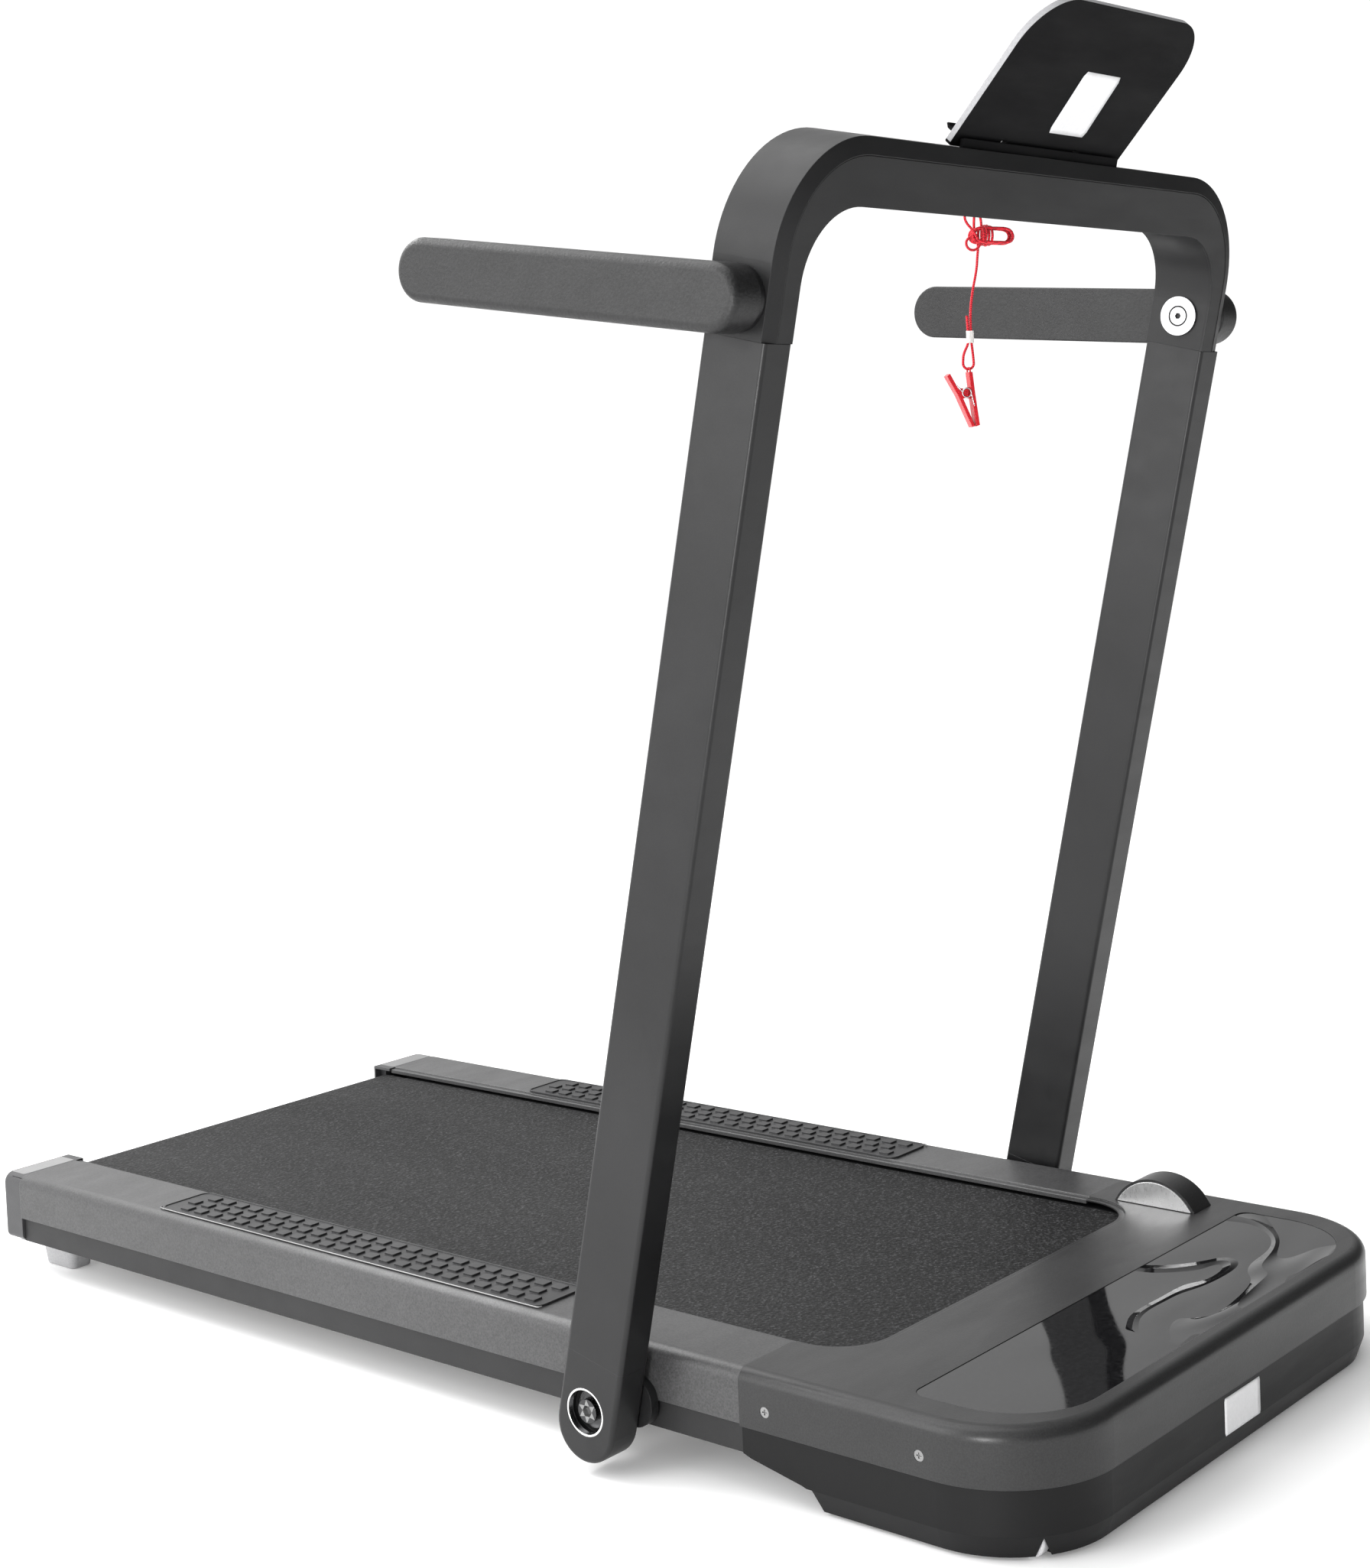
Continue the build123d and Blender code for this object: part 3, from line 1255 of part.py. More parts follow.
with BuildPart() as clip_spring:
    with BuildSketch(HANK_PLANE.offset(CLIP_W / 2 + 0.3)):
        with Locations(CLIP_PIN):
            Circle(4.4)
            Circle(3.3, mode=Mode.SUBTRACT)
    extrude(amount=1.1)
save("clip_spring", clip_spring.part)
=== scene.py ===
"""Looks of the folding walking-pad treadmill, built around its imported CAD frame.

Everything is in metres in the frame's own axes: X across the deck, -Y the motor end, Z up.
"""

import math

import bmesh
import bpy
from mathutils import Matrix, Vector
from mathutils.bvhtree import BVHTree


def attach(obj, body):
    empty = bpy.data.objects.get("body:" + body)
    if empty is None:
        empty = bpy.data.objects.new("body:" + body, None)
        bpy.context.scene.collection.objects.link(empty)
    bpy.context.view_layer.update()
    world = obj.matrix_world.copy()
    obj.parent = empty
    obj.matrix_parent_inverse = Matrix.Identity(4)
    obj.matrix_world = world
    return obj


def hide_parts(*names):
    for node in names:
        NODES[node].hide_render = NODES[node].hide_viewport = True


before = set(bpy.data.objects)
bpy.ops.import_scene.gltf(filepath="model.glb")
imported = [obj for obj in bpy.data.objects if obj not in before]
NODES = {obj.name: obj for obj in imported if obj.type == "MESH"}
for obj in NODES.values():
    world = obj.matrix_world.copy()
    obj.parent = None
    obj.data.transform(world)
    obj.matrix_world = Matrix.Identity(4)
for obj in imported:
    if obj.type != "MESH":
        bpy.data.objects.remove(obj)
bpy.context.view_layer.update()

# ------------------------------------------------------------------ driving places
PIVOT = Vector((0, -0.225, 0.052))  # handrail pivot
LEAN = math.radians(13.1)
UP = Vector((0, -math.sin(LEAN), math.cos(LEAN)))  # up the posts
AHEAD = Vector((0, -math.cos(LEAN), -math.sin(LEAN)))  # to the front, square to the posts
TURN = math.radians(-35)  # lanyard's plane, about Z
LANYARD_U = Vector((math.cos(TURN), math.sin(TURN), 0))
LANYARD_N = Vector((math.sin(TURN), -math.cos(TURN), 0))


def on_frame(x, s, ahead=0.0):
    """A point of the handrail, from its place across, up and before the pivot."""
    return PIVOT + Vector((x, 0, 0)) + UP * s + AHEAD * ahead


# ------------------------------------------------------------------ camera
AZIMUTH = math.radians(-49.6)
PITCH = math.radians(3.4)
ROLL = math.radians(-2.4)
EYE = Vector((-1.7081, -1.5311, 0.7966))
SENSOR_MM = 36
LENS_MM = 56.0
LENS_SHIFT = -0.1105
VIEW_END = 50


def aim_camera():
    """A long lens at the near left front of the machine, a little above its handrail's middle."""
    forward = Vector(
        (
            -math.sin(AZIMUTH) * math.cos(PITCH),
            math.cos(AZIMUTH) * math.cos(PITCH),
            -math.sin(PITCH),
        )
    )
    level = forward.cross(Vector((0, 0, 1))).normalized()
    upright = level.cross(forward)
    right = level * math.cos(ROLL) + upright * math.sin(ROLL)
    up = upright * math.cos(ROLL) - level * math.sin(ROLL)
    lens = bpy.data.cameras.new("camera")
    lens.sensor_width = SENSOR_MM
    lens.lens = LENS_MM
    lens.shift_y = LENS_SHIFT
    lens.clip_end = VIEW_END
    camera = bpy.data.objects.new("camera", lens)
    columns = Matrix((right, up, -forward)).transposed().to_4x4()
    camera.matrix_world = Matrix.Translation(EYE) @ columns
    bpy.context.scene.collection.objects.link(camera)
    bpy.context.scene.camera = camera


aim_camera()


# ------------------------------------------------------------------ shader helpers
def new_material(name):
    """An empty material with its node tree, shader and object coordinates."""
    material = bpy.data.materials.new(name)
    material.use_nodes = True
    nodes = material.node_tree.nodes
    shader = nodes["Principled BSDF"]
    place = nodes.new("ShaderNodeTexCoord")
    return material, nodes, material.node_tree.links, shader, place.outputs["Object"]


def noise(nodes, links, vector, scale, detail=3.0, rough=0.55, distortion=0.0):
    """A noise texture on the given coordinates."""
    texture = nodes.new("ShaderNodeTexNoise")
    texture.inputs["Scale"].default_value = scale
    texture.inputs["Detail"].default_value = detail
    texture.inputs["Roughness"].default_value = rough
    texture.inputs["Distortion"].default_value = distortion
    links.new(vector, texture.inputs["Vector"])
    return texture.outputs["Fac"]


def ramp(nodes, links, factor, stops):
    """A colour ramp: stops are (position, colour) pairs."""
    node = nodes.new("ShaderNodeValToRGB")
    elements = node.color_ramp.elements
    while len(elements) < len(stops):
        elements.new(0.5)
    for element, (position, colour) in zip(elements, stops):
        element.position = position
        element.color = (*colour, 1)
    links.new(factor, node.inputs["Fac"])
    return node.outputs["Color"]


def span(nodes, links, factor, low, high, start=0.3, end=0.7):
    """Maps start..end of a factor to low..high."""
    node = nodes.new("ShaderNodeMapRange")
    node.inputs["From Min"].default_value = start
    node.inputs["From Max"].default_value = end
    node.inputs["To Min"].default_value = low
    node.inputs["To Max"].default_value = high
    links.new(factor, node.inputs["Value"])
    return node.outputs["Result"]


def sums(nodes, links, operation, first, second=0.0):
    """One step of arithmetic on a factor and a number or another factor."""
    node = nodes.new("ShaderNodeMath")
    node.operation = operation
    links.new(first, node.inputs[0])
    if isinstance(second, float):
        node.inputs[1].default_value = second
    else:
        links.new(second, node.inputs[1])
    return node.outputs["Value"]


def stretch(nodes, links, vector, scale):
    """Coordinates scaled by a different amount on each axis."""
    node = nodes.new("ShaderNodeMapping")
    node.inputs["Scale"].default_value = scale
    links.new(vector, node.inputs["Vector"])
    return node.outputs["Vector"]


def blend_colours(nodes, links, mask, under, over, mode="MIX"):
    """A colour over another where the mask, a factor or a plain number, is 1."""
    mix = nodes.new("ShaderNodeMix")
    mix.data_type = "RGBA"
    mix.blend_type = mode
    if isinstance(mask, float):
        mix.inputs["Factor"].default_value = mask
    else:
        links.new(mask, mix.inputs["Factor"])
    links.new(under, mix.inputs["A"])
    if isinstance(over, tuple):
        mix.inputs["B"].default_value = (*over, 1)
    else:
        links.new(over, mix.inputs["B"])
    return mix.outputs["Result"]


def bump(nodes, links, height, distance, strength=0.5, before=None):
    """A bump from a height, stacked on an earlier one."""
    node = nodes.new("ShaderNodeBump")
    node.inputs["Strength"].default_value = strength
    node.inputs["Distance"].default_value = distance
    links.new(height, node.inputs["Height"])
    if before is not None:
        links.new(before, node.inputs["Normal"])
    return node.outputs["Normal"]


def soft_edges(nodes, links, radius):
    """A normal that rounds sharp edges, and a mask of where it does."""
    bevel = nodes.new("ShaderNodeBevel")
    bevel.samples = 4
    bevel.inputs["Radius"].default_value = radius
    geometry = nodes.new("ShaderNodeNewGeometry")
    dot = nodes.new("ShaderNodeVectorMath")
    dot.operation = "DOT_PRODUCT"
    links.new(bevel.outputs["Normal"], dot.inputs[0])
    links.new(geometry.outputs["Normal"], dot.inputs[1])
    mask = span(nodes, links, dot.outputs["Value"], 0.0, 1.0, 0.995, 0.8)
    return bevel.outputs["Normal"], mask


def shade(colour, factor):
    """A colour made lighter or darker."""
    return tuple(min(1.0, channel * factor) for channel in colour)


def moulded(
    name,
    colour,
    rough,
    grain=900,
    depth=0.00012,
    strength=0.35,
    coat=0.0,
    vary=0.14,
    specular=0.5,
    speckle=0.2,
    edge=0.0008,
    edge_highlight=1.7,
    smudge=0.0,
):
    """Moulded plastic or powder coat: fine grain, cloudy colour, uneven gloss and a painted
    highlight on sharp edges, in uneven patches.
    """
    material, nodes, links, shader, where = new_material(name)
    cloud = noise(nodes, links, where, 6.0, 5.0)
    tint = ramp(
        nodes, links, cloud, [(0.3, shade(colour, 1 - vary)), (0.7, shade(colour, 1 + vary))]
    )
    fine = noise(nodes, links, where, grain, 2.0, 0.7)
    grey = ramp(nodes, links, fine, [(0.3, shade((1, 1, 1), 1 - speckle)), (0.7, (1, 1, 1))])
    tint = blend_colours(nodes, links, 1.0, tint, grey, "MULTIPLY")
    if smudge:
        blot = noise(nodes, links, stretch(nodes, links, where, (1, 1, 0.5)), 9.0, 6.0, 0.7, 0.6)
        mark = span(nodes, links, blot, 0.0, smudge, 0.58, 0.72)
        tint = blend_colours(nodes, links, mark, tint, shade(colour, 0.35))
    rounded, mask = soft_edges(nodes, links, edge)
    # Painted highlight: sharp edges are lightened in colour, in uneven patches.
    highlight_patches = sums(nodes, links, "MULTIPLY", mask, span(nodes, links, cloud, 0.25, 0.8))
    tint = blend_colours(nodes, links, highlight_patches, tint, shade(colour, edge_highlight))
    links.new(tint, shader.inputs["Base Color"])
    smear = noise(nodes, links, stretch(nodes, links, where, (1, 3, 5)), 9.0, 5.0, 0.6)
    links.new(span(nodes, links, smear, rough - 0.05, rough + 0.07), shader.inputs["Roughness"])
    wave = noise(nodes, links, where, 22.0, 2.0)
    soft = bump(nodes, links, wave, 0.0006, 0.1, rounded)
    links.new(bump(nodes, links, fine, depth, strength, soft), shader.inputs["Normal"])
    shader.inputs["Specular IOR Level"].default_value = specular
    shader.inputs["Coat Weight"].default_value = coat
    shader.inputs["Coat Roughness"].default_value = 0.22
    return material


def metal(name, colour, rough, brushed=(1, 1, 1), grain=160, strength=0.25, edge=0.0005):
    """Bare or plated metal with brushing along the axis scaled least."""
    material, nodes, links, shader, where = new_material(name)
    lines = noise(nodes, links, stretch(nodes, links, where, brushed), grain, 5.0, 0.65)
    cloud = noise(nodes, links, where, 12.0, 3.0)
    tint = ramp(nodes, links, cloud, [(0.3, shade(colour, 0.86)), (0.7, colour)])
    rounded, mask = soft_edges(nodes, links, edge)
    # Painted highlight: sharp edges are made brighter in colour.
    tint = blend_colours(nodes, links, mask, tint, shade(colour, 1.15))
    links.new(tint, shader.inputs["Base Color"])
    shader.inputs["Metallic"].default_value = 1.0
    links.new(span(nodes, links, lines, rough - 0.06, rough + 0.1), shader.inputs["Roughness"])
    links.new(bump(nodes, links, lines, 0.00012, strength, rounded), shader.inputs["Normal"])
    return material


def belt_rubber():
    """Running belt: near-black vinyl with a tight pebble grain and faint foot polish."""
    material, nodes, links, shader, where = new_material("belt_rubber")
    cells = nodes.new("ShaderNodeTexVoronoi")
    cells.feature = "F1"
    cells.inputs["Scale"].default_value = 260.0
    cells.inputs["Randomness"].default_value = 1.0
    links.new(where, cells.inputs["Vector"])
    speck = noise(nodes, links, where, 400.0, 2.0, 0.75)
    cloud = noise(nodes, links, stretch(nodes, links, where, (2.2, 0.6, 1)), 3.0, 4.0)
    tint = ramp(
        nodes,
        links,
        speck,
        [
            (0.4, (0.003, 0.003, 0.003)),
            (0.55, (0.01, 0.01, 0.0105)),
            (0.68, (0.055, 0.055, 0.057)),
        ],
    )
    links.new(tint, shader.inputs["Base Color"])
    links.new(span(nodes, links, cloud, 0.5, 0.62), shader.inputs["Roughness"])
    coarse = bump(nodes, links, cells.outputs["Distance"], 0.0006, 0.6)
    links.new(bump(nodes, links, speck, 0.0003, 0.5, coarse), shader.inputs["Normal"])
    shader.inputs["Specular IOR Level"].default_value = 0.14
    return material


def window_gloss():
    """Glossy black display window under a protective film with a few long soft creases."""
    material, nodes, links, shader, where = new_material("window_gloss")
    flow = noise(nodes, links, stretch(nodes, links, where, (0.8, 1.5, 1)), 4.6, 0.0, 0.4, 1.5)
    ridge = sums(nodes, links, "ABSOLUTE", sums(nodes, links, "SUBTRACT", flow, 0.5))
    crease = span(nodes, links, ridge, 1.0, 0.0, 0.0, 0.055)
    gate = span(nodes, links, noise(nodes, links, where, 4.0, 0.0), 0.0, 1.0, 0.45, 0.6)
    crease = sums(nodes, links, "MULTIPLY", crease, gate)
    dust = noise(nodes, links, where, 260.0, 2.0)
    links.new(
        ramp(nodes, links, dust, [(0.4, (0.004, 0.004, 0.0045)), (0.85, (0.012, 0.012, 0.013))]),
        shader.inputs["Base Color"],
    )
    links.new(span(nodes, links, dust, 0.03, 0.07), shader.inputs["Roughness"])
    swell = bump(nodes, links, flow, 0.006, 0.35)
    links.new(bump(nodes, links, crease, 0.003, 1.0, swell), shader.inputs["Normal"])
    shader.inputs["Specular IOR Level"].default_value = 0.62
    return material


def braided(name, colour):
    """Braided cord: slanted bright and dark yarns with fibre fuzz."""
    material, nodes, links, shader, where = new_material(name)
    yarn = nodes.new("ShaderNodeTexWave")
    yarn.bands_direction = "DIAGONAL"
    yarn.inputs["Scale"].default_value = 330.0
    yarn.inputs["Distortion"].default_value = 2.2
    yarn.inputs["Detail"].default_value = 2.0
    links.new(where, yarn.inputs["Vector"])
    fuzz = noise(nodes, links, where, 1800.0, 3.0)
    tint = ramp(
        nodes, links, yarn.outputs["Fac"], [(0.15, shade(colour, 0.5)), (0.75, shade(colour, 1.2))]
    )
    links.new(tint, shader.inputs["Base Color"])
    links.new(span(nodes, links, fuzz, 0.5, 0.75), shader.inputs["Roughness"])
    strands = bump(nodes, links, yarn.outputs["Fac"], 0.0003, 0.8)
    links.new(bump(nodes, links, fuzz, 0.0001, 0.5, strands), shader.inputs["Normal"])
    shader.inputs["Sheen Weight"].default_value = 0.15
    shader.inputs["Specular IOR Level"].default_value = 0.3
    return material


def fibreboard():
    """Deck board: dark laminated top and brown compressed fibre."""
    material, nodes, links, shader, where = new_material("fibreboard")
    grain = noise(nodes, links, stretch(nodes, links, where, (30, 3, 160)), 6.0, 6.0, 0.7)
    links.new(
        ramp(nodes, links, grain, [(0.3, (0.1, 0.062, 0.035)), (0.75, (0.3, 0.2, 0.12))]),
        shader.inputs["Base Color"],
    )
    links.new(span(nodes, links, grain, 0.5, 0.75), shader.inputs["Roughness"])
    links.new(bump(nodes, links, grain, 0.0003, 0.4), shader.inputs["Normal"])
    return material


def circuit_board():
    """Display board: green lacquer with copper tracks."""
    material, nodes, links, shader, where = new_material("circuit_board")
    tracks = nodes.new("ShaderNodeTexBrick")
    tracks.inputs["Scale"].default_value = 90.0
    tracks.inputs["Color1"].default_value = (0.01, 0.07, 0.03, 1)
    tracks.inputs["Color2"].default_value = (0.015, 0.1, 0.045, 1)
    tracks.inputs["Mortar"].default_value = (0.2, 0.15, 0.05, 1)
    links.new(where, tracks.inputs["Vector"])
    links.new(tracks.outputs["Color"], shader.inputs["Base Color"])
    grain = noise(nodes, links, where, 300.0)
    links.new(span(nodes, links, grain, 0.25, 0.45), shader.inputs["Roughness"])
    links.new(bump(nodes, links, tracks.outputs["Fac"], 0.0002, 0.3), shader.inputs["Normal"])
    return material


def paper(name, colour):
    """Self-adhesive label: matt white film with faint fibres."""
    material, nodes, links, shader, where = new_material(name)
    fibre = noise(nodes, links, where, 420.0, 4.0, 0.6)
    links.new(
        ramp(nodes, links, fibre, [(0.3, shade(colour, 0.93)), (0.7, colour)]),
        shader.inputs["Base Color"],
    )
    links.new(span(nodes, links, fibre, 0.42, 0.6), shader.inputs["Roughness"])
    links.new(bump(nodes, links, fibre, 0.0001, 0.2), shader.inputs["Normal"])
    return material


# ------------------------------------------------------------------ the materials
RAIL = moulded(
    "rail_coat", (0.058, 0.058, 0.059), 0.38, 600, 0.00016, 0.45, specular=0.45, speckle=0.55
)
RAIL_LOW = moulded("rail_base", (0.016, 0.016, 0.0165), 0.5, 800, 0.00012, 0.35, specular=0.3)
POST = moulded(
    "post_coat",
    (0.0125, 0.0125, 0.013),
    0.33,
    800,
    0.0001,
    0.35,
    specular=0.3,
    smudge=0.6,
    vary=0.3,
)
COVER = moulded(
    "cover_plastic", (0.026, 0.026, 0.0265), 0.33, 700, 0.00014, 0.4, specular=0.34, speckle=0.4
)
TOP = moulded("crossbar_plastic", (0.013, 0.013, 0.0135), 0.4, 900, 0.0001, 0.35, specular=0.28)
SHELL = moulded("shell_plastic", (0.005, 0.005, 0.0053), 0.42, 800, 0.00014, 0.4, specular=0.2)
CAP = moulded("cap_plastic", (0.045, 0.045, 0.047), 0.45, 800, 0.00014, 0.4, specular=0.4)
BOSS = moulded("boss_plastic", (0.008, 0.008, 0.0085), 0.4, 800, 0.0001, 0.3, specular=0.35)
ARM = moulded(
    "arm_skin", (0.014, 0.014, 0.0145), 0.46, 420, 0.0005, 0.7, specular=0.4, speckle=0.6
)
HOLDER = moulded("holder_plastic", (0.005, 0.005, 0.0055), 0.6, 700, 0.0002, 0.4, specular=0.06)
RIM = moulded("holder_rim", (0.3, 0.3, 0.31), 0.35, 600, 0.0001, 0.2, specular=0.5)
# The pads' edges get the strongest painted highlight.
PAD = moulded("pad_rubber", (0.024, 0.024, 0.025), 0.5, 700, 0.0002, 0.5, specular=0.45, edge_highlight=3.0)
FOOT = moulded("foot_rubber", (0.3, 0.3, 0.305), 0.6, 500, 0.0002, 0.5)
WHEEL = moulded("wheel_rubber", (0.5, 0.5, 0.51), 0.5, 500, 0.0002, 0.4)
STEEL_COAT = moulded("frame_coat", (0.008, 0.008, 0.0085), 0.45, 700, 0.0002, 0.5, specular=0.35)
RED = moulded("red_plastic", (0.62, 0.006, 0.016), 0.3, 500, 0.0001, 0.25, coat=0.2, edge_highlight=1.2)
WHITE = moulded("white_plastic", (0.8, 0.78, 0.75), 0.4, 500, 0.0001, 0.25, edge_highlight=1.1)
MOTOR = moulded("motor_paint", (0.02, 0.02, 0.021), 0.4, 400, 0.0002, 0.4)
BELT = belt_rubber()
WINDOW = window_gloss()
WOOD = fibreboard()
BOARD = circuit_board()
LABEL = paper("label_film", (0.86, 0.86, 0.87))
CORD = braided("red_braid", (0.6, 0.006, 0.02))
INLAY = metal("inlay_metal", (0.9, 0.9, 0.9), 0.3, (1, 6, 1), 220, 0.12)
TRIM = metal("trim_metal", (0.3, 0.3, 0.3), 0.5, (1, 6, 1), 220, 0.12)
DISC = metal("disc_metal", (0.62, 0.62, 0.63), 0.38, (1, 1, 1), 320, 0.15)
BRIGHT = metal("bright_steel", (0.66, 0.66, 0.67), 0.28, (1, 1, 1), 300, 0.25)
CHROME = metal("chrome", (0.9, 0.9, 0.9), 0.1, (1, 1, 1), 60, 0.05)
SCREW = metal("screw_steel", (0.3, 0.3, 0.3), 0.35, (1, 1, 1), 300, 0.25)
DARK_BOLT = metal("black_bolt", (0.07, 0.07, 0.072), 0.22, (1, 1, 1), 300, 0.2)
ROLLER = metal("roller_steel", (0.6, 0.6, 0.62), 0.3, (8, 1, 1), 160, 0.3)
IRON = metal("cast_iron", (0.2, 0.2, 0.21), 0.5, (1, 1, 1), 400, 0.7)

NODE_MATERIALS = {
    RAIL: ("side_rail_left", "side_rail_right"),
    PAD: ("foot_pads", "deck_cushions", "drive_belt"),
    CAP: ("end_caps", "drive_pulley"),
    INLAY: ("hump_plate", "key_socket"),
    TRIM: ("end_cap_inlays", "pivot_bushes"),
    COVER: ("motor_cover", "pulley_hump"),
    TOP: ("top_shell", "front_trim"),
    SCREW: ("cover_screws",),
    BRIGHT: ("roller_shafts", "motor_rotor", "wheel_axles", "clip_spring"),
    SHELL: ("lower_shell", "inlet_panel"),
    WINDOW: ("display_window",),
    BOARD: ("display_board",),
    STEEL_COAT: (
        "frame_side_tubes",
        "cross_tubes",
        "motor_bracket",
        "hinge_brackets",
        "crossbar_tube",
    ),
    WOOD: ("deck_board",),
    BELT: ("running_belt",),
    ROLLER: ("front_roller", "rear_roller"),
    IRON: ("front_roller_bearings", "rear_roller_bearings", "flywheel", "controller"),
    MOTOR: ("motor",),
    RED: ("power_rocker", "safety_key", "clip_jaw_fixed", "clip_jaw_moving"),
    WHEEL: ("transport_wheel_left", "transport_wheel_right"),
    FOOT: ("rear_feet",),
    DARK_BOLT: ("pivot_bolts",),
    CHROME: ("pivot_rings",),
    POST: ("post_left", "post_right", "post_feet"),
    ARM: ("arm_left", "arm_right"),
    BOSS: ("arm_pivot_left", "arm_pivot_right"),
    HOLDER: ("phone_panel", "phone_shelf", "holder_hinge"),
    CORD: ("lanyard_cord", "lanyard_hank"),
    WHITE: ("lanyard_crimp",),
}

for material, node_names in NODE_MATERIALS.items():
    for node_name in node_names:
        mesh = NODES[node_name].data
        mesh.materials.clear()
        mesh.materials.append(material)


def paint_faces(node_name, material, chosen):
    """Gives a CAD node a second material on the faces that chosen(centre, normal) picks."""
    mesh = NODES[node_name].data
    mesh.materials.append(material)
    for polygon in mesh.polygons:
        if chosen(polygon.center, polygon.normal):
            polygon.material_index = len(mesh.materials) - 1


CREASE_Z = 0.058  # step in the side rails
HUB = on_frame(0, 0.886)  # axis of the arm pivots
DISC_R = 0.0215  # bright disc on the inner face of an arm pivot
GROOVE_X = (0.3029, 0.305)  # floors of the disc's groove and socket lie between these; they are painted dark as shade
GROOVE_R = 0.0105
INNER_FACE_X = 0.3035  # anything on the arm pivots nearer the middle is the disc
SOCKET_R = 0.0062  # hex socket in the pivot bolts
SOCKET_X = 0.325
RIM_LOW_Z = 1.045  # the holder's rim is pale above this height
PANEL_TILT = math.radians(43.7)
HOLDER_NORMAL = Vector((0, -math.cos(PANEL_TILT), -math.sin(PANEL_TILT)))
ALONG_PANEL = Vector((0, -math.sin(PANEL_TILT), math.cos(PANEL_TILT)))
FACING = 0.5  # cosine that parts the faces square to a direction from those along it


def near_hub(centre, radius):
    """Whether a place lies within a radius of the arm pivots' axis."""
    return math.hypot(centre.y - HUB.y, centre.z - HUB.z) < radius


for side in ("left", "right"):
    paint_faces(f"side_rail_{side}", RAIL_LOW, lambda centre, normal: centre.z < CREASE_Z)
    paint_faces(
        f"arm_pivot_{side}",
        DISC,
        lambda centre, normal: abs(centre.x) < INNER_FACE_X and near_hub(centre, DISC_R),
    )
    # Painted shade: the floors of the disc's groove and hex socket get the dark boss plastic.
    paint_faces(
        f"arm_pivot_{side}",
        BOSS,
        lambda centre, normal: GROOVE_X[0] < abs(centre.x) < GROOVE_X[1]
        and near_hub(centre, GROOVE_R),
    )
paint_faces("deck_board", STEEL_COAT, lambda centre, normal: normal.z > FACING)
paint_faces(
    "pivot_bolts",
    TRIM,
    lambda centre, normal: math.hypot(centre.y - PIVOT.y, centre.z - PIVOT.z) < SOCKET_R
    and abs(centre.x) > SOCKET_X,
)
paint_faces(
    "phone_panel",
    RIM,
    lambda centre, normal: abs(normal.dot(HOLDER_NORMAL)) < FACING and centre.z > RIM_LOW_Z,
)


# ------------------------------------------------------------------ studio
FLOOR_HALF = 30.0
FLOOR_GLOW = 0.12  # keeps the far floor as white as the backdrop
BACKDROP = (0.55, 0.55, 0.55)  # the room as the camera sees it, doubled by the strength
ROOM_STRENGTH = 2.0
BRIGHT_SIDE = Vector((-0.5, 0.8, 0.3)).normalized()
SOFTBOXES = [  # name, place, aim, size, watts
    ("left_light", (-3.0, 1.0, 1.5), (0, 0, 0.45), (1.6, 2.4), 38),
    ("top_light", (-0.6, 0.4, 3.4), (0, 0, 0.3), (2.6, 2.6), 50),
    ("corner_light", (-3.2, -1.45, 0.45), (-0.2, -0.5, 0.15), (0.45, 0.85), 52),
    ("back_strip", (-0.3, 2.3, 2.6), (0, 0, 0.2), (3.4, 0.5), 70),
]


def floor_and_sky():
    """A plain pale floor, and a pale room that is brightest to the left and behind."""
    mesh = bpy.data.meshes.new("floor")
    half = FLOOR_HALF
    shape = bmesh.new()
    corners = [(-half, -half, 0), (half, -half, 0), (half, half, 0), (-half, half, 0)]
    shape.faces.new([shape.verts.new(corner) for corner in corners])
    shape.to_mesh(mesh)
    shape.free()
    floor = bpy.data.objects.new("floor", mesh)
    bpy.context.scene.collection.objects.link(floor)
    material, nodes, links, shader, where = new_material("floor_paint")
    haze = noise(nodes, links, where, 2.0, 3.0)
    links.new(
        ramp(nodes, links, haze, [(0.3, (0.92, 0.92, 0.92)), (0.7, (0.95, 0.95, 0.95))]),
        shader.inputs["Base Color"],
    )
    shader.inputs["Roughness"].default_value = 0.8
    shader.inputs["Specular IOR Level"].default_value = 0.1
    shader.inputs["Emission Color"].default_value = (1, 1, 1, 1)
    shader.inputs["Emission Strength"].default_value = FLOOR_GLOW
    mesh.materials.append(material)

    world = bpy.data.worlds.new("studio")
    world.use_nodes = True
    nodes = world.node_tree.nodes
    links = world.node_tree.links
    sky = nodes["Background"]
    place = nodes.new("ShaderNodeTexCoord")
    axis = nodes.new("ShaderNodeVectorMath")
    axis.operation = "DOT_PRODUCT"
    links.new(place.outputs["Generated"], axis.inputs[0])
    axis.inputs[1].default_value = BRIGHT_SIDE
    bright = span(nodes, links, axis.outputs["Value"], 0.0, 1.0, -1.0, 1.0)
    room = ramp(
        nodes,
        links,
        bright,
        [
            (0.0, (0.02, 0.02, 0.02)),
            (0.33, (0.05, 0.05, 0.05)),
            (0.55, (0.4, 0.4, 0.4)),
            (0.67, (0.55, 0.55, 0.55)),
            (0.95, (1, 1, 1)),
        ],
    )
    path = nodes.new("ShaderNodeLightPath")
    seen = blend_colours(nodes, links, path.outputs["Is Camera Ray"], room, BACKDROP)
    links.new(seen, sky.inputs["Color"])
    sky.inputs["Strength"].default_value = ROOM_STRENGTH
    bpy.context.scene.world = world


def softbox(name, at, towards, size, power):
    """A rectangular soft light at a place, aimed at another."""
    data = bpy.data.lights.new(name, "AREA")
    data.shape = "RECTANGLE"
    data.size = size[0]
    data.size_y = size[1]
    data.energy = power
    light = bpy.data.objects.new(name, data)
    light.location = at
    light.rotation_euler = (Vector(towards) - Vector(at)).to_track_quat("-Z", "Y").to_euler()
    bpy.context.scene.collection.objects.link(light)


def studio():
    """Soft light from above and from the left, as over a product on a white sweep."""
    floor_and_sky()
    bpy.context.scene.view_settings.view_transform = "Standard"
    for box in SOFTBOXES:
        softbox(*box)


studio()


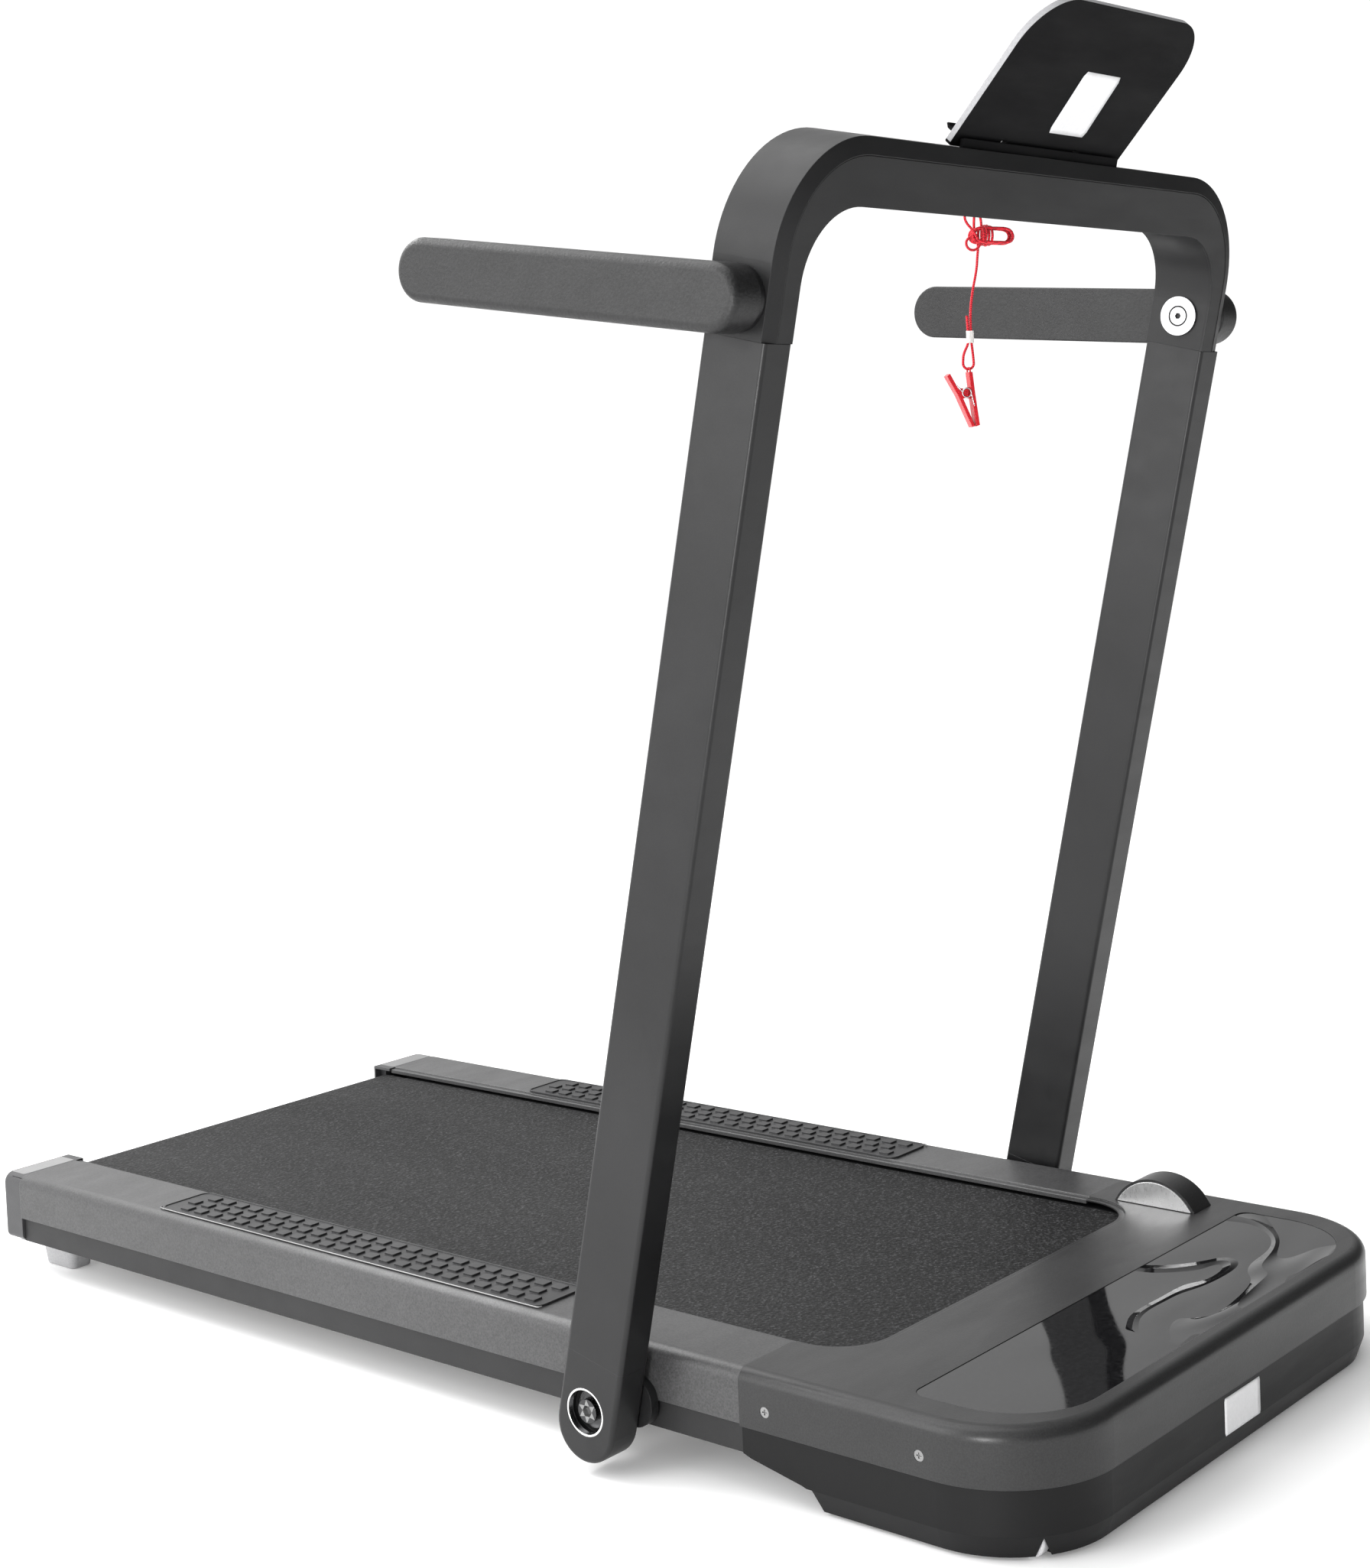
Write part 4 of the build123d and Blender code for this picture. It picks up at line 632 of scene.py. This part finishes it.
# ------------------------------------------------------------------ pieces on the frame
def add_piece(name, data, material, body):
    """A mesh or curve of ours, riding on a body, with a material."""
    data.materials.append(material)
    obj = bpy.data.objects.new(name, data)
    bpy.context.scene.collection.objects.link(obj)
    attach(obj, body)
    return obj


def spline_curve(name, points, radius, resolution=12, order=3, fill=4):
    """One open smooth NURBS curve with the given control points, as round stock."""
    curve = bpy.data.curves.new(name, "CURVE")
    curve.dimensions = "3D"
    curve.bevel_depth = radius
    curve.bevel_resolution = fill
    curve.use_fill_caps = True
    spline = curve.splines.new("NURBS")
    spline.points.add(len(points) - 1)
    for control, point in zip(spline.points, points):
        control.co = (*point, 1)
    spline.order_u = order
    spline.use_endpoint_u = True
    spline.resolution_u = resolution
    return curve


# ------------------------------------------------------------------ safety lanyard
CORD_D = 0.0022
CORD_TOP = on_frame(0, 0.969, -0.0348)
CORD_DROP = CORD_TOP - UP * 0.009
HANK_MIDDLE_Z = 0.976
TURNS = 6
HANK_ENDS = (0.0028, 0.0262)  # middles of the folds along the hank
HANK_HALF = 0.0058  # radius of a fold
FIRST_TURN_OUT = -0.0056
RUN_IN = 0.0045  # from a fold to the nearest point on its straight run
WRAPS = 4
WRAP_STEPS = 12
WRAP_START = 0.0025
WRAP_PITCH = 0.0026
WRAP_R = 0.0078


def in_lanyard(u, z, out=0.0):
    """A point of the lanyard's plane, from its place along the hank and its height."""
    base = Vector((0, CORD_DROP.y, z))
    return base + LANYARD_U * u + LANYARD_N * out


def hank_turns():
    """Six unequal racetrack turns side by side, each fourteen points round."""
    points = []
    for turn in range(TURNS):
        swing = math.sin(2.3 * turn + 0.6)
        right = HANK_ENDS[1] + 0.0016 * swing
        left = HANK_ENDS[0] - 0.0012 * math.cos(1.7 * turn)
        half = HANK_HALF + 0.0004 * math.sin(1.9 * turn)
        start = FIRST_TURN_OUT + CORD_D * turn
        outline = []
        for end, sign in ((right, 1), (left, -1)):
            far_end = left if sign > 0 else right
            outline.append((far_end + sign * RUN_IN, sign * half))
            outline.append((end - sign * RUN_IN, sign * half))
            for step in range(5):
                fan = math.radians(45 * step - 90)
                outline.append((end + sign * half * math.cos(fan), -sign * half * math.sin(fan)))
        for step, (u, z) in enumerate(outline):
            out = start + CORD_D * step / len(outline)
            droop = 0.0009 * max(0.0, (u - 0.012) / 0.016)
            points.append(in_lanyard(u, HANK_MIDDLE_Z + z - droop, out))
    return points[1:-2]


def knot_wraps():
    """Turns of the cord round the hank, from a quarter turn on, where the cord comes down."""
    points = []
    for step in range(WRAP_STEPS // 4, WRAP_STEPS * WRAPS + 1):
        around = 2 * math.pi * step / WRAP_STEPS
        reach = WRAP_R + 0.0006 * math.sin(step * 0.9)
        u = WRAP_START + WRAP_PITCH * step / WRAP_STEPS
        z = HANK_MIDDLE_Z + reach * math.cos(around)
        points.append(in_lanyard(u, z, -reach * math.sin(around)))
    return points


WAY_IN = [  # places along the hank, height, out, as in every list below
    (0.0008, 0.9895, -0.0034),
    (0.002, 0.983, -0.0074),
]
WRAPS_TO_HANK = (0.015, 0.9832, -0.0035)
TALL_LOOP = [
    (-0.0048, 0.9815, 0.0045),
    (-0.0085, 0.9855, 0.004),
    (-0.0106, 0.9905, 0.004),
    (-0.009, 0.9958, 0.0035),
    (-0.0037, 0.998, 0.0035),
    (0.0022, 0.9957, 0.003),
    (0.0043, 0.9895, 0.003),
    (0.0046, 0.982, 0.003),
]
SMALL_LOOP = [
    (0.004, 0.974, 0.0045),
    (0.002, 0.9675, 0.0055),
    (-0.002, 0.9638, 0.006),
    (-0.0066, 0.9636, 0.0055),
    (-0.0098, 0.9668, 0.0048),
    (-0.0098, 0.9713, 0.004),
    (-0.0063, 0.9745, 0.003),
    (-0.0015, 0.9738, 0.002),
    (0.0018, 0.9702, 0.001),
    (0.0022, 0.9652, 0.0),
]
STRAND = [
    (0.0013, 0.959, 0),
    (0.0003, 0.948, 0),
    (-0.004, 0.931, 0),
    (-0.0066, 0.914, 0),
    (-0.0068, 0.898, 0),
]
EYE_LOOP = [
    (-0.0065, 0.888, 0),
    (-0.0056, 0.8795, 0),
    (-0.0051, 0.8727, 0),
    (-0.0051, 0.8697, 0),
    (-0.0069, 0.8672, 0),
    (-0.0098, 0.8663, 0),
    (-0.0127, 0.8672, 0),
    (-0.0145, 0.8697, 0),
    (-0.0145, 0.8727, 0),
    (-0.0138, 0.8795, 0),
    (-0.0088, 0.888, 0),
    (-0.0092, 0.898, 0),
    (-0.0099, 0.9105, 0.0004),
]


def lanyard():
    """The red cord: out of the key, knotted round its own hank, and down to the clip's eye."""
    points = [CORD_TOP, CORD_DROP]
    points += [in_lanyard(*place) for place in WAY_IN]
    points += knot_wraps()
    points.append(in_lanyard(*WRAPS_TO_HANK))
    points += hank_turns()
    for place in TALL_LOOP + SMALL_LOOP + STRAND + EYE_LOOP:
        points.append(in_lanyard(*place))
    return spline_curve("lanyard_line", points, CORD_D / 2, 8)


line = add_piece("lanyard_line", lanyard(), CORD, "key")
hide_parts("lanyard_cord", "lanyard_hank")


def spoke(axis, across, angle):
    """The direction square to an axis at an angle from across."""
    return across * math.cos(angle) + axis.cross(across) * math.sin(angle)


def helix(name, centre, axis, across, radius, turns, pitch, legs, wire):
    """A torsion spring: turns round an axis, with a straight leg at each end."""
    points = [centre + legs[0]]
    for step in range(round(turns * SPRING_STEPS) + 1):
        share = step / SPRING_STEPS
        drift = pitch * (share - turns / 2)
        points.append(centre + spoke(axis, across, 2 * math.pi * share) * radius + axis * drift)
    points.append(centre + legs[1])
    return spline_curve(name, points, wire)


SPRING_STEPS = 12
SPRING_AT = in_lanyard(-0.014, 0.847, 0.0051)
SPRING_R = 0.0039
SPRING_TURNS = 1.5
SPRING_PITCH = 0.001
SPRING_WIRE = 0.00045
SPRING_LEGS = [
    LANYARD_U * 0.0066 + Vector((0, 0, -0.011)) - LANYARD_N * 0.0006,
    -LANYARD_U * 0.0082 + Vector((0, 0, 0.006)) - LANYARD_N * 0.0006,
]
coil = helix(
    "clip_coil",
    SPRING_AT,
    LANYARD_N,
    LANYARD_U,
    SPRING_R,
    SPRING_TURNS,
    SPRING_PITCH,
    SPRING_LEGS,
    SPRING_WIRE,
)
spring = add_piece("clip_coil", coil, BRIGHT, "key")
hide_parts("clip_spring")

EYE_AT = in_lanyard(-0.0098, 0.8645)
EYE_R = 0.0034
EYE_WIRE = 0.0007
EYE_STEPS = 16


def ring(name, centre, axis, across, radius, wire):
    """A round ring whose ends meet."""
    points = []
    for step in range(EYE_STEPS + 1):
        points.append(centre + spoke(axis, across, 2 * math.pi * step / EYE_STEPS) * radius)
    return spline_curve(name, points, wire)


eye = add_piece(
    "clip_eye",
    ring("clip_eye", EYE_AT, LANYARD_U, LANYARD_N, EYE_R, EYE_WIRE),
    RED,
    "key",
)


# ------------------------------------------------------------------ labels, adjusters and painted pad-edge highlights
def surface(node_name):
    """A CAD node's faces, for laying a piece on them."""
    mesh = NODES[node_name].data
    places = [vertex.co for vertex in mesh.vertices]
    return BVHTree.FromPolygons(places, [tuple(polygon.vertices) for polygon in mesh.polygons])


LABEL_LIFT = 0.00025
LABEL_THICK = 0.0002
RAY_BACK = 0.02  # the ray that finds a label's face starts this far before it
RAY_LENGTH = 0.06


def sticker(name, node_name, middle, across, up, inward, size, corner, body):
    """A thin blank label with rounded corners, laid on a node's face."""
    faces = surface(node_name)
    half_wide, half_high = size[0] / 2, size[1] / 2
    grid = 12
    shape = bmesh.new()
    rows = []
    for row in range(grid + 1):
        high = half_high * (2 * row / grid - 1)
        inset = 0.0
        over = abs(high) - (half_high - corner)
        if over > 0:
            inset = corner - math.sqrt(max(0.0, corner * corner - over * over))
        line_of = []
        for column in range(grid + 1):
            wide = (half_wide - inset) * (2 * column / grid - 1)
            start = middle + across * wide + up * high - inward * RAY_BACK
            hit = faces.ray_cast(start, inward, RAY_LENGTH)[0]
            line_of.append(shape.verts.new(hit - inward * LABEL_LIFT))
        rows.append(line_of)
    for row in range(grid):
        for column in range(grid):
            shape.faces.new(
                (
                    rows[row][column],
                    rows[row][column + 1],
                    rows[row + 1][column + 1],
                    rows[row + 1][column],
                )
            )
    bmesh.ops.recalc_face_normals(shape, faces=shape.faces)
    mesh = bpy.data.meshes.new(name)
    shape.to_mesh(mesh)
    shape.free()
    for polygon in mesh.polygons:
        polygon.use_smooth = True
    label = add_piece(name, mesh, LABEL, body)
    thick = label.modifiers.new("thick", "SOLIDIFY")
    thick.thickness = LABEL_THICK
    thick.offset = 0


HOLDER_HINGE = on_frame(0, 1.0161, 0.014)
X_AXIS = Vector((1, 0, 0))
SKEW = math.radians(5)  # the holder's label leans a little
sticker(
    "holder_label",
    "phone_panel",
    HOLDER_HINGE + X_AXIS * 0.0195 + ALONG_PANEL * 0.0493,
    X_AXIS * math.cos(SKEW),
    ALONG_PANEL * math.cos(SKEW) - X_AXIS * math.sin(SKEW),
    -HOLDER_NORMAL,
    (0.054, 0.059),
    0.002,
    "holder",
)
sticker(
    "rating_label",
    "lower_shell",
    Vector((0, -0.64, 0.0355)),
    X_AXIS,
    Vector((0, 0, 1)),
    Vector((0, 1, 0)),
    (0.059, 0.030),
    0.001,
    "base",
)


def lathe(profile, centre, axis, across, sides=48, hexed=0):
    """A turned piece: rings of (radius, height); the last hexed of them are six-sided."""
    shape = bmesh.new()
    rings = []
    for index, (radius, height) in enumerate(profile):
        ring_of = []
        for step in range(sides):
            angle = 2 * math.pi * step / sides
            reach = radius
            if index >= len(profile) - hexed:
                flat = (angle + math.pi / 6) % (math.pi / 3) - math.pi / 6
                reach = radius / math.cos(flat)
            place = centre + spoke(axis, across, angle) * reach + axis * height
            ring_of.append(shape.verts.new(place))
        rings.append(ring_of)
    for low, high in zip(rings, rings[1:]):
        for step in range(sides):
            after = (step + 1) % sides
            shape.faces.new((low[step], low[after], high[after], high[step]))
    shape.faces.new(rings[0])
    shape.faces.new(rings[-1])
    bmesh.ops.recalc_face_normals(shape, faces=shape.faces)
    mesh = bpy.data.meshes.new("turned")
    shape.to_mesh(mesh)
    shape.free()
    return mesh


ADJUSTER_X = 0.2785
ROLLER_Z = 0.0714
CAP_BACK_Y = 0.625
ADJUSTER_PROFILE = [  # radius, height: shank, head, rim of the socket and its two hex rings
    (0.0048, -0.014),
    (0.0052, -0.0135),
    (0.0052, -0.0028),
    (0.0046, -0.0022),
    (0.0029, -0.0022),
    (0.0026, -0.0026),
    (0.0026, -0.0065),
]
for word, side in (("left", -1), ("right", 1)):
    at = Vector((side * ADJUSTER_X, CAP_BACK_Y, ROLLER_Z))
    head = lathe(ADJUSTER_PROFILE, at, Vector((0, 1, 0)), X_AXIS, hexed=2)
    add_piece(f"adjuster_{word}", head, BRIGHT, "base")

# Painted highlight: a thin bright bead along each pad's outer edge stands in for the light caught
# by the pads' recess lips.
PAD_EDGE_X = 0.2846
PAD_ENDS_Y = (-0.1265, 0.3785)
PAD_MIDDLE_Y = 0.1
PAD_HIGHLIGHT_Z = 0.1022
PAD_HIGHLIGHT_WIRE = 0.0006
PAD_HIGHLIGHT_END = [  # inward from the edge, outward past the pad's end
    (0.004, 0.0012),
    (0.0005, 0.0006),
    (0.0, -0.006),
]
for word, side in (("left", -1), ("right", 1)):
    near = [(PAD_EDGE_X - inset, PAD_ENDS_Y[0] - past) for inset, past in PAD_HIGHLIGHT_END]
    far = [(PAD_EDGE_X - inset, PAD_ENDS_Y[1] + past) for inset, past in PAD_HIGHLIGHT_END[::-1]]
    run = [
        Vector((side * x, y, PAD_HIGHLIGHT_Z)) for x, y in near + [(PAD_EDGE_X, PAD_MIDDLE_Y)] + far
    ]
    bead = spline_curve(f"pad_trim_{word}", run, PAD_HIGHLIGHT_WIRE)
    add_piece(f"pad_trim_{word}", bead, TRIM, "base")
